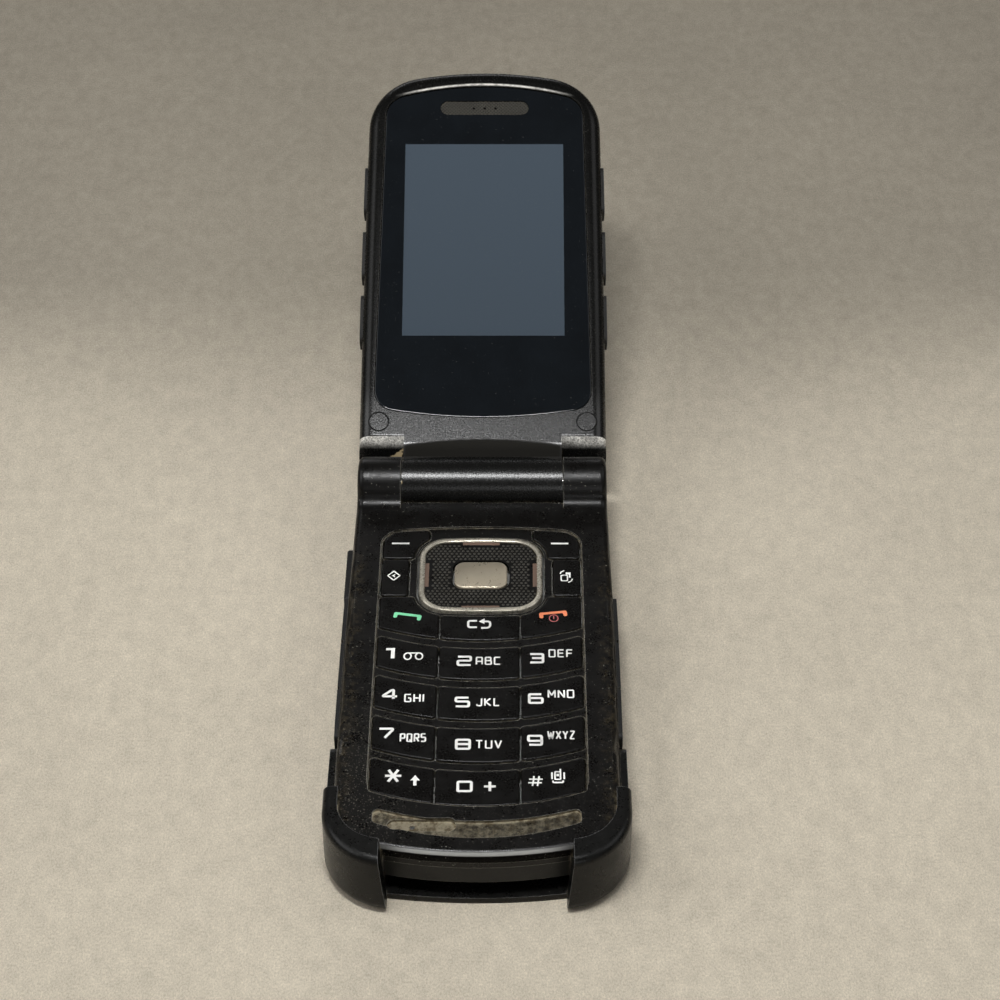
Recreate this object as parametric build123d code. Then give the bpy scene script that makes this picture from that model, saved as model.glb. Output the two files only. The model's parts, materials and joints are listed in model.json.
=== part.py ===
from build123d import *
import os
from math import atan2, cos, radians, sin, sqrt

# Rugged clamshell phone, lying open on the underside of its base.  Millimetres.
# +X is the user's right, +Y runs from the chin to the hinge, +Z is up.  The origin is on the
# resting face, half-way along the battery cover.

# ---------------------------------------------------------------- overall sizes
HINGE_Y = 45.0              # hinge axis behind the origin
BASE_T = 12.7               # resting face to the hinge axis
LID_T = 9.7                 # hinge axis plane to the lid's outer face, when closed
LID_RAISE = 27.9            # lid above the base plane when fully open, degrees
FACE_DROP = 0.2             # inner faces of base and lid lie this far from the hinge plane
WALL = 1.5                  # side walls of all four housings
PLATE_T = 1.2               # top plate of the base and bottom skins

# ---------------------------------------------------------------- outline of the base
BASE_LENGTH = 97.0          # hinge axis to the tip of the chin
HALF_W_HINGE = 24.65
HALF_W_WAIST = 25.3
HALF_W_CHIN = 25.0
WAIST_AT = 40.0             # widest section, in front of the hinge axis
CHIN_SAG = 4.2              # the chin's corners lie this far behind its tip
CHIN_CORNER_R = 9.0
FACE_EDGE_R = 1.3           # rounding of the base's upper edge
BELLY_EDGE_R = 3.0          # rounding of the base's lower edge
PARTING_DROP = 4.35         # parting plane under the hinge plane

# ---------------------------------------------------------------- hinge
KNUCKLE_R = 5.3             # knuckles and barrel
BARREL_HALF = 16.0          # half length of the barrel
END_GAP = 0.2               # between barrel end and knuckle
CRADLE_GAP = 0.45           # between barrel and the hollow in front of it
KNUCKLE_BLEND_R = 2.7       # hollow blend from knuckle to face
PIN_R = 1.5
PIN_FIT = 0.05              # radial running clearance
PIN_IN_BARREL = 7.0
PIN_IN_KNUCKLE = 6.0
CAM_R = 3.0
CAM_LENGTH = 12.5
CAM_NOSE_R = 2.0
CAM_NOSE = 5.0
FLEX_ROLL = 9.0
HINGE_BLOCK = 8.5           # solid stretch of the front housing around the knuckles

# ---------------------------------------------------------------- keypad
WELL_HALF = 19.6
WELL_TOP = 12.9
WELL_TOP_SAG = 1.2
WELL_BOTTOM = 86.0
WELL_TOP_R = 4.5
WELL_LOW_R = 3.6
WELL_DEPTH = 0.4
ROW_R = 53.0                # radius of the bowed rows
ROW_FIRST = 46.75           # top of the first number row on the centre line
ROW_PITCH = 10.3
ROW_HEIGHT = 8.2
ROWS = 4
COLUMN_HALF = 7.6           # half width of the middle column
KEYS_HALF = 19.1            # half width over the outer columns
KEY_SPLIT = 0.3             # between neighbouring keys
KEY_GAP = 0.22              # between a key and its opening
KEY_SINK = 0.1              # key tops under the face
KEY_EDGE_R = 0.35
KEY_CORNER_R = 0.7
KEY_LIP = 0.55              # flange that keeps a key under the plate
KEY_LIP_T = 0.5
KEY_TRAVEL = 0.3
TRAVEL_SPARE = 0.05         # left under a key at the end of its travel
KEY_SKIRT = 2.4             # height of a key body

SOFT_BOTTOM = 22.1
SIDE_BOTTOM = 32.6
SIDE_INNER = 13.9
CALL_BOTTOM = 44.6          # lower edge of the call row on the centre line
CLEAR_TOP = 37.7

NAV_HALF = 11.9
NAV_TOP = 16.1
NAV_BOTTOM = 37.0
NAV_BOW = 0.7
NAV_CORNER_R = 5.4
NAV_GAP = 0.35
NAV_WEB = 0.5               # plate left between the navigation key and its neighbours
RIM_WIDTH = 1.1
RIM_SINK = 0.02
RING_SINK = 0.25            # dotted face under the rim's top
RING_T = 1.4
NAV_TILT_GAP = 0.3
ACTUATOR_T = 0.5
ACTUATOR_INSET = 1.0
INSERT_T = 0.4
INSERT_W = 0.8
INSERT_TOP_HALF = 3.6
INSERT_SIDE_HALF = 3.3
OK_HALF = 5.1
OK_TOP = 22.9
OK_BOTTOM = 30.2
OK_CORNER_R = 2.0
OK_GAP = 0.4

# ---------------------------------------------------------------- chin scoop
SCOOP_TOP = 89.4
SCOOP_BOTTOM = 93.2
SCOOP_HALF = 18.2
SCOOP_TOP_R = 55.0
SCOOP_END = 3.3             # height of the hollow at its ends
SCOOP_END_R = 1.0
SCOOP_DEPTH = 0.55
MIC_LOW_X = -15.6
MIC_HIGH_X = -3.6
MIC_POCKET_W = 2.6
MIC_POCKET_DEPTH = 0.5
MIC_POCKET_AT = 90.0
MIC_HOLE_R = 0.45
MIC_HOLE_X = -11.2
MIC_R = 2.0
MIC_T = 1.4

# ---------------------------------------------------------------- stack inside the base
MAT_T = 1.1
BOARD_T = 0.8
DOME_T = 0.2
STACK_INSET = 1.0           # dome sheet inside the board's outline
BOARD_GAP = 0.35
BOARD_REAR = 9.5
BOARD_FRONT = 93.0
BATTERY_HALF = 16.8
BATTERY_NEAR = 13.0
BATTERY_LENGTH = 44.0
BATTERY_T = 4.6
BATTERY_CORNER_R = 1.5
BATTERY_GAP = 0.3
COVER_HALF = 18.9
COVER_NEAR = 10.5
COVER_END_RUN = 12.0        # the cover's end past the battery's end
COVER_CORNER_R = 3.0
COVER_T = 1.1
COVER_GAP = 0.15
LOCK_R = 4.2
LOCK_SETBACK = 5.2          # lock behind the cover's end
LOCK_BAR_HALF = 6.0         # bayonet bar behind the cover; it catches over the housing's edge
LOCK_BAR_W = 3.0
LOCK_BAR_T = 1.0
LOCK_SLOT_W = 1.1
LOCK_SLOT_DEPTH = 0.6
LOCK_GAP = 0.1
CHIN_LIFT = 1.7             # the chin's underside clears the corner guard by this much
CHIN_LIFT_RUN = 2.0         # the lift starts this far past the cover's end
CHIN_RAMP = 4.0
CHIN_POCKET_FLOOR = 1.3
CHIN_BAND = 2.3             # the chin's lip stands out over its front wall down to here
CHIN_RECESS = 0.5           # the wall stands this far behind the lip
CHIN_RECESS_HALF = 16.2
CHIN_LIP_Z = 4.6            # lower edge of the front wall
CHIN_UNDERCUT = 3.5         # under it the chin is this much shorter
CONTACT_W = 1.6
CONTACT_PITCH = 2.6
CONTACTS = 4
CONTACT_T = 1.4
CONTACT_DROP = 3.0          # contacts reach this far down beside the battery
CONTACT_GAP = 0.1
MOTOR_R = 2.0
MOTOR_LENGTH = 8.0
MOTOR_X = -14.0
MOTOR_RUN = 5.5             # motor axis past the chin pocket's rear wall
ANTENNA_HALF = 12.0
ANTENNA_T = 3.0
ANTENNA_W = 4.0
ANTENNA_RUN = 6.5           # antenna past the motor's axis
SCREW_R = 0.9
SCREW_HEAD_R = 1.6
SCREW_HEAD_T = 1.1
SCREW_LENGTH = 8.0
BASE_SCREW_X = 21.8
BASE_SCREW_REAR = 11.6
BOSS_R = 1.75
BASE_SCREW_SETBACK = 3.0    # front screws behind the cover's end
SCREW_POCKET = 1.0          # screw heads lie this deep

# ---------------------------------------------------------------- flanks of the base
SIDE_KEY_FROM = 13.5
SIDE_KEY_LENGTH = 14.5
SIDE_KEY_LOW = 2.9
SIDE_KEY_H = 4.4
SIDE_KEY_PROUD = 1.3
SIDE_KEY_DEPTH = 1.6
SIDE_KEY_GAP = 0.15
SIDE_KEY_TRAVEL = 0.4
SIDE_KEY_END_R = 1.0
RIB_PITCH = 1.0
RIB_GROOVE = 0.35
PORT_FROM = 16.5
PORT_LENGTH = 13.0
PORT_LOW = 2.9
PORT_H = 4.4
PORT_COVER_T = 1.2
PORT_COVER_GAP = 0.15
PORT_PROUD = 0.15
PORT_END_R = 1.2
PORT_MOUTH_H = 2.6
PORT_SHELL_T = 0.3
PORT_MOUTH_W = 9.0
PORT_DEPTH = 5.2
GRIP_FROM = 31.5
GRIP_TO = 68.2
GRIP_PROUD = 0.75
GRIP_DEPTH = 0.7
GRIP_BOTTOM = 3.0           # grip's lower edge over the resting face
GRIP_TOP_DROP = 1.5         # grip's upper edge under the hinge plane
GRIP_END_R = 0.9
GRIP_NOTCH = 0.45
GRIP_PADS = 3

# ---------------------------------------------------------------- corner guard
GUARD_HALF = 27.0
GUARD_LENGTH = 100.8        # hinge axis to the guard's front, on the centre line
GUARD_FRONT_SAG = 3.2
GUARD_CORNER_R = 12.5
FLANK_BOW = 0.05            # bulge of the guard's flanks
GUARD_GAP = 0.15
GUARD_FLOOR = 1.4
GUARD_FLOOR_RUN = 0.5       # the guard's floor starts this far past the chin's ramp
GUARD_OPEN_HALF = 16.85     # half width of the opening under the chin, at the top
GUARD_FOOT_HALF = 15.6      # the same at the resting face
CUP_FROM = 82.4
CUP_RISE = 1.2              # cups over the base's face
CUP_LAP = 0.7              # cups reach this far in over the face
WING_FROM = 68.9
WING_DROP = 2.6             # wings end this far under the face
WING_STEP = 0.35            # wings stand this far inside the cups' outside
GUARD_EDGE_R = 2.4
GUARD_TOP_R = 1.5
LEDGE_SETBACK = 3.4         # the floor ends this far behind the cups' front
WING_END_R = 2.0

# ---------------------------------------------------------------- lid
LID_LENGTH = 95.6
LID_HALF_REAR = 25.05
LID_HALF_MID = 24.95
LID_HALF_TIP = 24.5
LID_TIP_SAG = 3.9
LID_CORNER_R = 12.5
LID_PARTING = 4.6           # parting plane of the lid behind its face plane
LID_FACE_R = 2.7
LID_BACK_R = 3.4
LID_FACE_END = 8.3          # the face between the knuckles ends here
NECK_DROP = 1.9             # the neck falls this much towards the barrel
NECK_FOOT = 5.0             # and ends this far from the hinge axis
NECK_BROW_R = 2.5
SHOULDER_END = 10.2         # the face behind the knuckles ends here
SHOULDER_FOOT = 6.6
SHOULDER_FOOT_DROP = 3.6
LID_BACK_FROM = 13.0        # the outer face starts here
LID_CAVITY_FROM = 17.0
LID_ROOF_T = 1.35           # front frame behind the lens
LENS_HALF_LOW = 22.2
LENS_HALF_HIGH = 20.9
LENS_LOW = 14.4
LENS_TIP_MARGIN = 4.4       # lens to the lid's tip
LENS_LOW_SAG = 2.3
LENS_HIGH_SAG = 3.4
LENS_LOW_R = 4.5
LENS_HIGH_R = 5.0
LENS_T = 1.0
LENS_GAP = 0.12
LENS_SINK = 0.12
DISPLAY_HALF = 16.7
DISPLAY_HEIGHT = 44.6
DISPLAY_EAR_RUN = 7.1       # between display and earpiece slot
DISPLAY_BORDER = 1.9
DISPLAY_T = 2.4
EAR_HALF = 9.4
EAR_W = 3.4
EAR_TIP_MARGIN = 7.8        # earpiece slot to the lid's tip
EAR_SINK = 0.25
EARPIECE_T = 2.2
EARPIECE_HALF = 7.0
EARPIECE_W = 5.6
PLUG_X = 21.1
PLUG_AT = 13.5
PLUG_R = 2.0
PLUG_T = 0.8
PLUG_PROUD = 0.12
LID_SCREW_LENGTH = 4.6
PAD_STARTS = (32.2, 47.0, 62.2)
PAD_LENGTH = 11.0
PAD_PROUD = 0.55
PAD_DEPTH = 0.7
PAD_TOP = 2.2               # pads' edge behind the lid's face plane
PAD_BOTTOM = 7.4
PAD_END_R = 1.4
LID_BOARD_T = 0.8
LID_BOARD_EAR_RUN = 1.8     # between the lid's board and the earpiece slot
OUTER_HALF = 14.0
OUTER_HEIGHT = 24.0
OUTER_CAMERA_RUN = 14.0     # between the outer window and the camera's axis
OUTER_CORNER_R = 3.0
OUTER_T = 1.0
OUTER_GAP = 0.12
CAMERA_TIP_MARGIN = 21.6    # camera axis to the lid's tip
CAMERA_RING_R = 5.4
CAMERA_GLASS_R = 3.2
CAMERA_T = 2.2
CAMERA_PROUD = 0.3
SPEAKER_AT = 23.6
SPEAKER_R = 5.5
SPEAKER_T = 2.2
SLOT_HALF = 6.0
SLOT_W = 1.0
SLOT_PITCH = 2.2
SLOTS = 3

# ---------------------------------------------------------------- worked-out values
HINGE_Z = BASE_T
FACE_Z = HINGE_Z - FACE_DROP
PARTING_Z = HINGE_Z - PARTING_DROP
ROOF_Z = FACE_Z - PLATE_T
KNUCKLE_IN = BARREL_HALF + END_GAP
KEY_TOP_Z = FACE_Z - KEY_SINK
KEY_LOW_Z = KEY_TOP_Z - KEY_SKIRT
MAT_TOP_Z = KEY_LOW_Z - KEY_TRAVEL - TRAVEL_SPARE
DOME_TOP_Z = MAT_TOP_Z - MAT_T
BOARD_TOP_Z = DOME_TOP_Z - DOME_T
BOARD_LOW_Z = BOARD_TOP_Z - BOARD_T
COVER_END = BATTERY_NEAR + BATTERY_LENGTH + COVER_END_RUN
LOCK_AT = COVER_END - LOCK_SETBACK
BASE_SCREW_FRONT = COVER_END - BASE_SCREW_SETBACK
CHIN_LIFT_FROM = COVER_END + CHIN_LIFT_RUN
CHIN_POCKET_FROM = CHIN_LIFT_FROM + CHIN_RAMP
GUARD_FLOOR_FROM = CHIN_POCKET_FROM + GUARD_FLOOR_RUN
MOTOR_AT = CHIN_POCKET_FROM + MOTOR_RUN
ANTENNA_AT = MOTOR_AT + ANTENNA_RUN
BATTERY_LOW_Z = COVER_T + BATTERY_GAP
BATTERY_TOP_Z = BATTERY_LOW_Z + BATTERY_T
RIM_TOP_Z = FACE_Z - RIM_SINK
RING_TOP_Z = RIM_TOP_Z - RING_SINK
RING_LOW_Z = RING_TOP_Z - RING_T
ACTUATOR_TOP_Z = RING_LOW_Z - NAV_TILT_GAP
ACTUATOR_LOW_Z = ACTUATOR_TOP_Z - ACTUATOR_T
LENS_HIGH = LID_LENGTH - LENS_TIP_MARGIN
EAR_HIGH = LID_LENGTH - EAR_TIP_MARGIN
EAR_LOW = EAR_HIGH - EAR_W
DISPLAY_HIGH = EAR_LOW - DISPLAY_EAR_RUN
DISPLAY_LOW = DISPLAY_HIGH - DISPLAY_HEIGHT
LID_BOARD_TO = EAR_LOW - LID_BOARD_EAR_RUN
CAMERA_AT = LID_LENGTH - CAMERA_TIP_MARGIN
OUTER_HIGH = CAMERA_AT - OUTER_CAMERA_RUN
OUTER_LOW = OUTER_HIGH - OUTER_HEIGHT
LENS_TOP_N = -FACE_DROP - LENS_SINK
LENS_SEAT_N = LENS_TOP_N - LENS_T
LID_ROOF_N = -FACE_DROP - LENS_SINK - LENS_T - LID_ROOF_T
DISPLAY_TOP_N = LENS_SEAT_N
DISPLAY_LOW_N = DISPLAY_TOP_N - DISPLAY_T
LID_SKIN_N = -LID_T + PLATE_T
BIG = 200.0                 # larger than the whole phone, for cutting tools


# ---------------------------------------------------------------- helpers
def ahead(distance):
    """World y of a point this far in front of the hinge axis."""
    return HINGE_Y - distance


def prism(plan, low, high):
    """Upright solid on a plan outline, between two heights."""
    return extrude(Pos(0, 0, low) * plan, amount=high - low, dir=(0, 0, 1))


def slab(x_span, y_span, z_span):
    """Box between the given limits."""
    size = [max(span) - min(span) for span in (x_span, y_span, z_span)]
    middle = [(max(span) + min(span)) / 2 for span in (x_span, y_span, z_span)]
    return Pos(*middle) * Box(*size)


def along_x(profile, x_low, x_high):
    """Solid with a constant profile in the YZ plane, between two stations along X."""
    return extrude(Plane.YZ.offset(x_low) * profile, amount=x_high - x_low, dir=(1, 0, 0))


def rod_x(radius, x_low, x_high, y=HINGE_Y, z=HINGE_Z):
    """Round bar along X, by default on the hinge axis."""
    return Pos((x_low + x_high) / 2, y, z) * Rot(0, 90, 0) * Cylinder(radius, x_high - x_low)


def disc(radius, x, y, low, high):
    """Upright cylinder between two heights."""
    return Pos(x, y, (low + high) / 2) * Cylinder(radius, high - low)


def in_pair(shape):
    """The shape and its mirror image across the centre plane."""
    return shape + mirror(shape, Plane.YZ)


def rounded_rectangle(x_span, y_span, radius):
    """Plan outline of a rectangle with rounded corners."""
    width, depth = x_span[1] - x_span[0], y_span[1] - y_span[0]
    centre = Pos(sum(x_span) / 2, sum(y_span) / 2)
    return centre * RectangleRounded(width, depth, min(radius, width / 2.1, depth / 2.1))


def upper_edges(solid):
    """Edges round the highest face of a solid."""
    return solid.faces().sort_by(Axis.Z)[-1].outer_wire().edges()


def lower_edges(solid):
    """Edges round the lowest face of a solid."""
    return solid.faces().sort_by(Axis.Z)[0].outer_wire().edges()


# ---------------------------------------------------------------- outlines of the base
def tongue_plan(rear, middle, tip, halves, sag, corner_r, grow):
    """Outline with bowed flanks, round corners and an arched tip, all moved outwards by `grow`.

    `halves` are the half widths at the rear, the middle station and the tip's corners.
    """
    way = 1 if tip > rear else -1
    arch_r = (halves[2] ** 2 + sag ** 2) / (2 * sag)
    rear_half, middle_half, tip_half = [half + grow for half in halves]
    corner = tip - way * (arch_r - sqrt((arch_r + grow) ** 2 - tip_half ** 2))
    rear, tip = rear - way * grow, tip + way * grow
    outline = make_face([
        Line((-rear_half, rear), (rear_half, rear)),
        ThreePointArc((rear_half, rear), (middle_half, middle), (tip_half, corner)),
        ThreePointArc((tip_half, corner), (0, tip), (-tip_half, corner)),
        ThreePointArc((-tip_half, corner), (-middle_half, middle), (-rear_half, rear)),
    ])
    ends = outline.vertices().sort_by(Axis.Y)
    return fillet(ends[-2:] if way > 0 else ends[:2], corner_r + grow)


def base_plan(grow=0.0):
    """Outline of the base seen from above."""
    halves = (HALF_W_HINGE, HALF_W_WAIST, HALF_W_CHIN)
    return tongue_plan(ahead(-KNUCKLE_R), ahead(WAIST_AT), ahead(BASE_LENGTH), halves, CHIN_SAG,
                       CHIN_CORNER_R, grow)


def bow(x, centre):
    """Distance in front of the hinge, at x, of a row arc that crosses the centre line at `centre`."""
    return centre - (ROW_R - sqrt(ROW_R ** 2 - x ** 2))


def row_cell(x_low, x_high, top, bottom, corner_r=KEY_CORNER_R):
    """Part of a bowed row between two stations along X."""
    middle = (x_low + x_high) / 2
    upper = [(x, ahead(bow(x, top))) for x in (x_low, middle, x_high)]
    lower = [(x, ahead(bow(x, bottom))) for x in (x_high, middle, x_low)]
    cell = make_face([
        ThreePointArc(*upper), Line(upper[2], lower[0]),
        ThreePointArc(*lower), Line(lower[2], upper[0]),
    ])
    return fillet(cell.vertices(), corner_r)


def well_plan(grow=0.0):
    """Outline of the keypad well."""
    top_side, top_mid = ahead(WELL_TOP + WELL_TOP_SAG), ahead(WELL_TOP)
    low_side, low_mid = ahead(bow(WELL_HALF, WELL_BOTTOM)), ahead(WELL_BOTTOM)
    outline = make_face([
        ThreePointArc((-WELL_HALF, top_side), (0, top_mid), (WELL_HALF, top_side)),
        Line((WELL_HALF, top_side), (WELL_HALF, low_side)),
        ThreePointArc((WELL_HALF, low_side), (0, low_mid), (-WELL_HALF, low_side)),
        Line((-WELL_HALF, low_side), (-WELL_HALF, top_side)),
    ])
    outline = fillet(outline.vertices().group_by(Axis.Y)[-1], WELL_TOP_R)
    outline = fillet(outline.vertices().group_by(Axis.Y)[0], WELL_LOW_R)
    return offset(outline, grow) if grow else outline


def nav_plan(grow=0.0):
    """Outline of the navigation key's rim, bowed at top and bottom."""
    top, low = ahead(NAV_TOP), ahead(NAV_BOTTOM)
    outline = make_face([
        ThreePointArc((-NAV_HALF, top - NAV_BOW), (0, top), (NAV_HALF, top - NAV_BOW)),
        Line((NAV_HALF, top - NAV_BOW), (NAV_HALF, low + NAV_BOW)),
        ThreePointArc((NAV_HALF, low + NAV_BOW), (0, low), (-NAV_HALF, low + NAV_BOW)),
        Line((-NAV_HALF, low + NAV_BOW), (-NAV_HALF, top - NAV_BOW)),
    ])
    outline = fillet(outline.vertices(), NAV_CORNER_R)
    return offset(outline, grow) if grow else outline


def ok_plan(grow=0.0):
    """Outline of the centre key."""
    return rounded_rectangle((-OK_HALF - grow, OK_HALF + grow),
                             (ahead(OK_BOTTOM) - grow, ahead(OK_TOP) + grow), OK_CORNER_R + grow)


# ---------------------------------------------------------------- keys
def number_key_plans(grow=0.0, lip=0.0):
    """Outlines of the twelve number keys, by row from the top and column from the left."""
    split = KEY_SPLIT / 2
    columns = [(-KEYS_HALF - lip, -COLUMN_HALF - split), (-COLUMN_HALF + split, COLUMN_HALF - split),
               (COLUMN_HALF + split, KEYS_HALF + lip)]
    plans = []
    for row in range(ROWS):
        top = ROW_FIRST + row * ROW_PITCH - lip
        bottom = top + ROW_HEIGHT + 2 * lip
        for column, (x_low, x_high) in enumerate(columns):
            cell = row_cell(x_low, x_high, top, bottom)
            plans.append(offset(cell, grow) if grow else cell)
    return plans


def behind(y):
    """Half plane of everything farther from the chin than y."""
    return Pos(0, y + BIG / 2) * Rectangle(BIG, BIG)


def softened(plan, radius=KEY_CORNER_R):
    """The outline with its convex corners rounded."""
    return offset(offset(plan, -radius), radius)


def soft_plan(grow=0.0):
    """Outline of the right soft key: the well's upper corner, cut away round the navigation key."""
    corner = well_plan(KEYS_HALF - WELL_HALF) & behind(ahead(SOFT_BOTTOM) + KEY_SPLIT / 2)
    plan = softened((corner & outboard()) - nav_plan(NAV_GAP + KEY_GAP + NAV_WEB))
    return offset(plan, grow) if grow else plan


def outboard():
    """Half plane to the right of the middle of the navigation key's corner."""
    return Pos(NAV_HALF - NAV_CORNER_R / 3 + BIG / 2, 0) * Rectangle(BIG, BIG)


def side_plan(grow=0.0):
    """Outline of the right side key, between soft key and call key."""
    split = KEY_SPLIT / 2
    cell = rounded_rectangle((SIDE_INNER, KEYS_HALF),
                             (ahead(SIDE_BOTTOM) + split, ahead(SOFT_BOTTOM) - split), KEY_CORNER_R)
    return offset(cell, grow) if grow else cell


def call_plan(grow=0.0):
    """Outline of the right call key, cut away round the navigation key."""
    cell = row_cell(COLUMN_HALF + KEY_SPLIT / 2, KEYS_HALF, SIDE_BOTTOM - 1, CALL_BOTTOM)
    cell = cell - behind(ahead(SIDE_BOTTOM) - KEY_SPLIT / 2)
    plan = softened(cell - nav_plan(NAV_GAP + KEY_GAP + NAV_WEB))
    return offset(plan, grow) if grow else plan


def clear_plan(grow=0.0):
    """Outline of the clear key under the navigation key."""
    split = KEY_SPLIT / 2
    cell = row_cell(-COLUMN_HALF + split, COLUMN_HALF - split, CLEAR_TOP, CALL_BOTTOM)
    plan = softened(cell - nav_plan(NAV_GAP + KEY_GAP + NAV_WEB))
    return offset(plan, grow) if grow else plan


def flipped(plan):
    """Mirror image of an outline across the centre line."""
    return mirror(plan, Plane.YZ)


def key_cap(plan, lip_plan):
    """Key body with a soft upper edge, and the flange that holds it under the plate."""
    cap = prism(plan, KEY_LOW_Z, KEY_TOP_Z)
    cap = fillet(upper_edges(cap), KEY_EDGE_R)
    lip_low = ROOF_Z - KEY_TRAVEL - KEY_LIP_T
    return cap + prism(lip_plan, lip_low, lip_low + KEY_LIP_T)


def upper_key_plans(grow=0.0):
    """Outlines of the keys above the number rows, by name."""
    return {
        "soft_key_right": soft_plan(grow), "soft_key_left": flipped(soft_plan(grow)),
        "task_key": side_plan(grow), "map_key": flipped(side_plan(grow)),
        "end_key": call_plan(grow), "send_key": flipped(call_plan(grow)),
        "clear_key": clear_plan(grow),
    }


def keys():
    """All sprung keys except the navigation and centre keys, by name."""
    names = [f"key_{name}" for name in ("1", "2", "3", "4", "5", "6", "7", "8", "9", "star", "0", "hash")]
    solids = {name: key_cap(plan, lip_plan) for name, plan, lip_plan
              in zip(names, number_key_plans(), number_key_plans(lip=KEY_LIP))}
    stem_inset = -KEY_SPLIT / 2
    for name, plan in upper_key_plans().items():
        solids[name] = key_cap(plan, offset(plan, stem_inset))
    return solids


def nav_pieces():
    """Navigation key with its rim, inserts and actuator, and the centre key."""
    inner = nav_plan(-RIM_WIDTH)
    body = prism(nav_plan(-PIN_FIT), RING_LOW_Z, RING_LOW_Z + RING_T / 2)
    body += prism(inner, RING_LOW_Z, RING_TOP_Z)
    body -= prism(ok_plan(OK_GAP), RING_LOW_Z - 1, RING_TOP_Z + 1)
    rim = prism(nav_plan() - inner, RING_LOW_Z + RING_T / 2, RIM_TOP_Z)
    rim = fillet(upper_edges(rim), RIM_WIDTH / 4)
    top_y, low_y = ahead(NAV_TOP + RIM_WIDTH), ahead(NAV_BOTTOM - RIM_WIDTH)
    side_y = (top_y + low_y) / 2
    side_x = NAV_HALF - RIM_WIDTH
    marks = Sketch() + [
        Pos(0, top_y - INSERT_W / 2) * Rectangle(2 * INSERT_TOP_HALF, INSERT_W),
        Pos(0, low_y + INSERT_W / 2) * Rectangle(2 * INSERT_TOP_HALF, INSERT_W),
        Pos(side_x - INSERT_W / 2, side_y) * Rectangle(INSERT_W, 2 * INSERT_SIDE_HALF),
        Pos(-side_x + INSERT_W / 2, side_y) * Rectangle(INSERT_W, 2 * INSERT_SIDE_HALF),
    ]
    inserts = prism(marks & inner, RING_TOP_Z - INSERT_T, RING_TOP_Z)
    body -= inserts
    actuator = prism(nav_plan(-RIM_WIDTH - ACTUATOR_INSET), ACTUATOR_LOW_Z, ACTUATOR_TOP_Z)
    actuator -= prism(ok_plan(OK_GAP + NAV_TILT_GAP), ACTUATOR_LOW_Z - 1, ACTUATOR_TOP_Z + 1)
    ok_key = fillet(upper_edges(prism(ok_plan(), KEY_LOW_Z, KEY_TOP_Z)), KEY_EDGE_R)
    return {"nav_key": body, "nav_rim": rim, "nav_inserts": inserts, "nav_actuator": actuator,
            "ok_key": ok_key}


# ---------------------------------------------------------------- front housing of the base
def side_view():
    """Side view of the front housing: face, hollow blend and the round of the knuckles."""
    blend_up = KNUCKLE_BLEND_R - FACE_DROP
    reach = sqrt((KNUCKLE_R + KNUCKLE_BLEND_R) ** 2 - blend_up ** 2)
    share = KNUCKLE_R / (KNUCKLE_R + KNUCKLE_BLEND_R)
    touch = (ahead(reach * share), HINGE_Z + blend_up * share)
    foot = (ahead(reach), FACE_Z)
    rear, crown = (HINGE_Y + KNUCKLE_R, HINGE_Z), (HINGE_Y, HINGE_Z + KNUCKLE_R)
    lean = atan2(touch[1] - FACE_Z - KNUCKLE_BLEND_R, touch[0] - foot[0]) / 2 - radians(45)
    bottom = (foot[0] + KNUCKLE_BLEND_R * cos(lean), FACE_Z + KNUCKLE_BLEND_R * (1 + sin(lean)))
    front = ahead(BASE_LENGTH + WALL)
    return make_face([
        ThreePointArc(rear, crown, touch), ThreePointArc(touch, bottom, foot),
        *Polyline(foot, (front, FACE_Z), (front, PARTING_Z), (rear[0], PARTING_Z), rear).edges(),
    ])


def front_form():
    """Outer form of the front housing, rounded along the face, the chin and the knuckles' ends."""
    form = prism(base_plan(), PARTING_Z, HINGE_Z + 2 * KNUCKLE_R) & along_x(side_view(), -BIG, BIG)
    rims = [edge for edge in form.edges()
            if edge.center().Z > PARTING_Z + 0.01
            and abs(edge.tangent_at(0.5).X) < 0.9999 and abs(edge.tangent_at(0.5).Z) < 0.9999]
    return fillet(rims, FACE_EDGE_R)


def hinge_bores():
    """Round holes of the knuckles: the pin's seat on the left, the cam nose's bearing on the right."""
    pin_seat = rod_x(PIN_R, -KNUCKLE_IN - PIN_IN_KNUCKLE, -KNUCKLE_IN + END_GAP)
    nose_run = CAM_NOSE + END_GAP
    nose_bore = rod_x(CAM_NOSE_R + PIN_FIT, KNUCKLE_IN - END_GAP, KNUCKLE_IN + nose_run)
    return pin_seat + nose_bore


def cradle():
    """Space for the barrel and the lid's neck between the knuckles."""
    round_part = rod_x(KNUCKLE_R + CRADLE_GAP, -KNUCKLE_IN, KNUCKLE_IN)
    rear_part = slab((-KNUCKLE_IN, KNUCKLE_IN), (HINGE_Y, HINGE_Y + BIG),
                     (HINGE_Z - KNUCKLE_R + CRADLE_GAP / 4, HINGE_Z + BIG))
    upper_part = slab((-KNUCKLE_IN, KNUCKLE_IN), (ahead(2 * KNUCKLE_R), HINGE_Y + BIG),
                      (FACE_Z, HINGE_Z + BIG))
    return round_part + rear_part + upper_part


def flank_piece(profile, outside, inside):
    """Piece lying in the right flank of the base, between two offsets of the outline."""
    band = prism(base_plan(outside) - base_plan(inside), 0, BASE_T)
    return band & along_x(profile, 0, BIG)


def grip_profile(grow=0.0):
    """Side view of a base grip."""
    return rounded_rectangle((ahead(GRIP_TO) - grow, ahead(GRIP_FROM) + grow),
                             (GRIP_BOTTOM - grow, HINGE_Z - GRIP_TOP_DROP + grow), GRIP_END_R)


def base_grip_space():
    """Recesses of both grips in the housings."""
    return in_pair(flank_piece(grip_profile(), GRIP_PROUD + 1, -GRIP_DEPTH))


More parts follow.
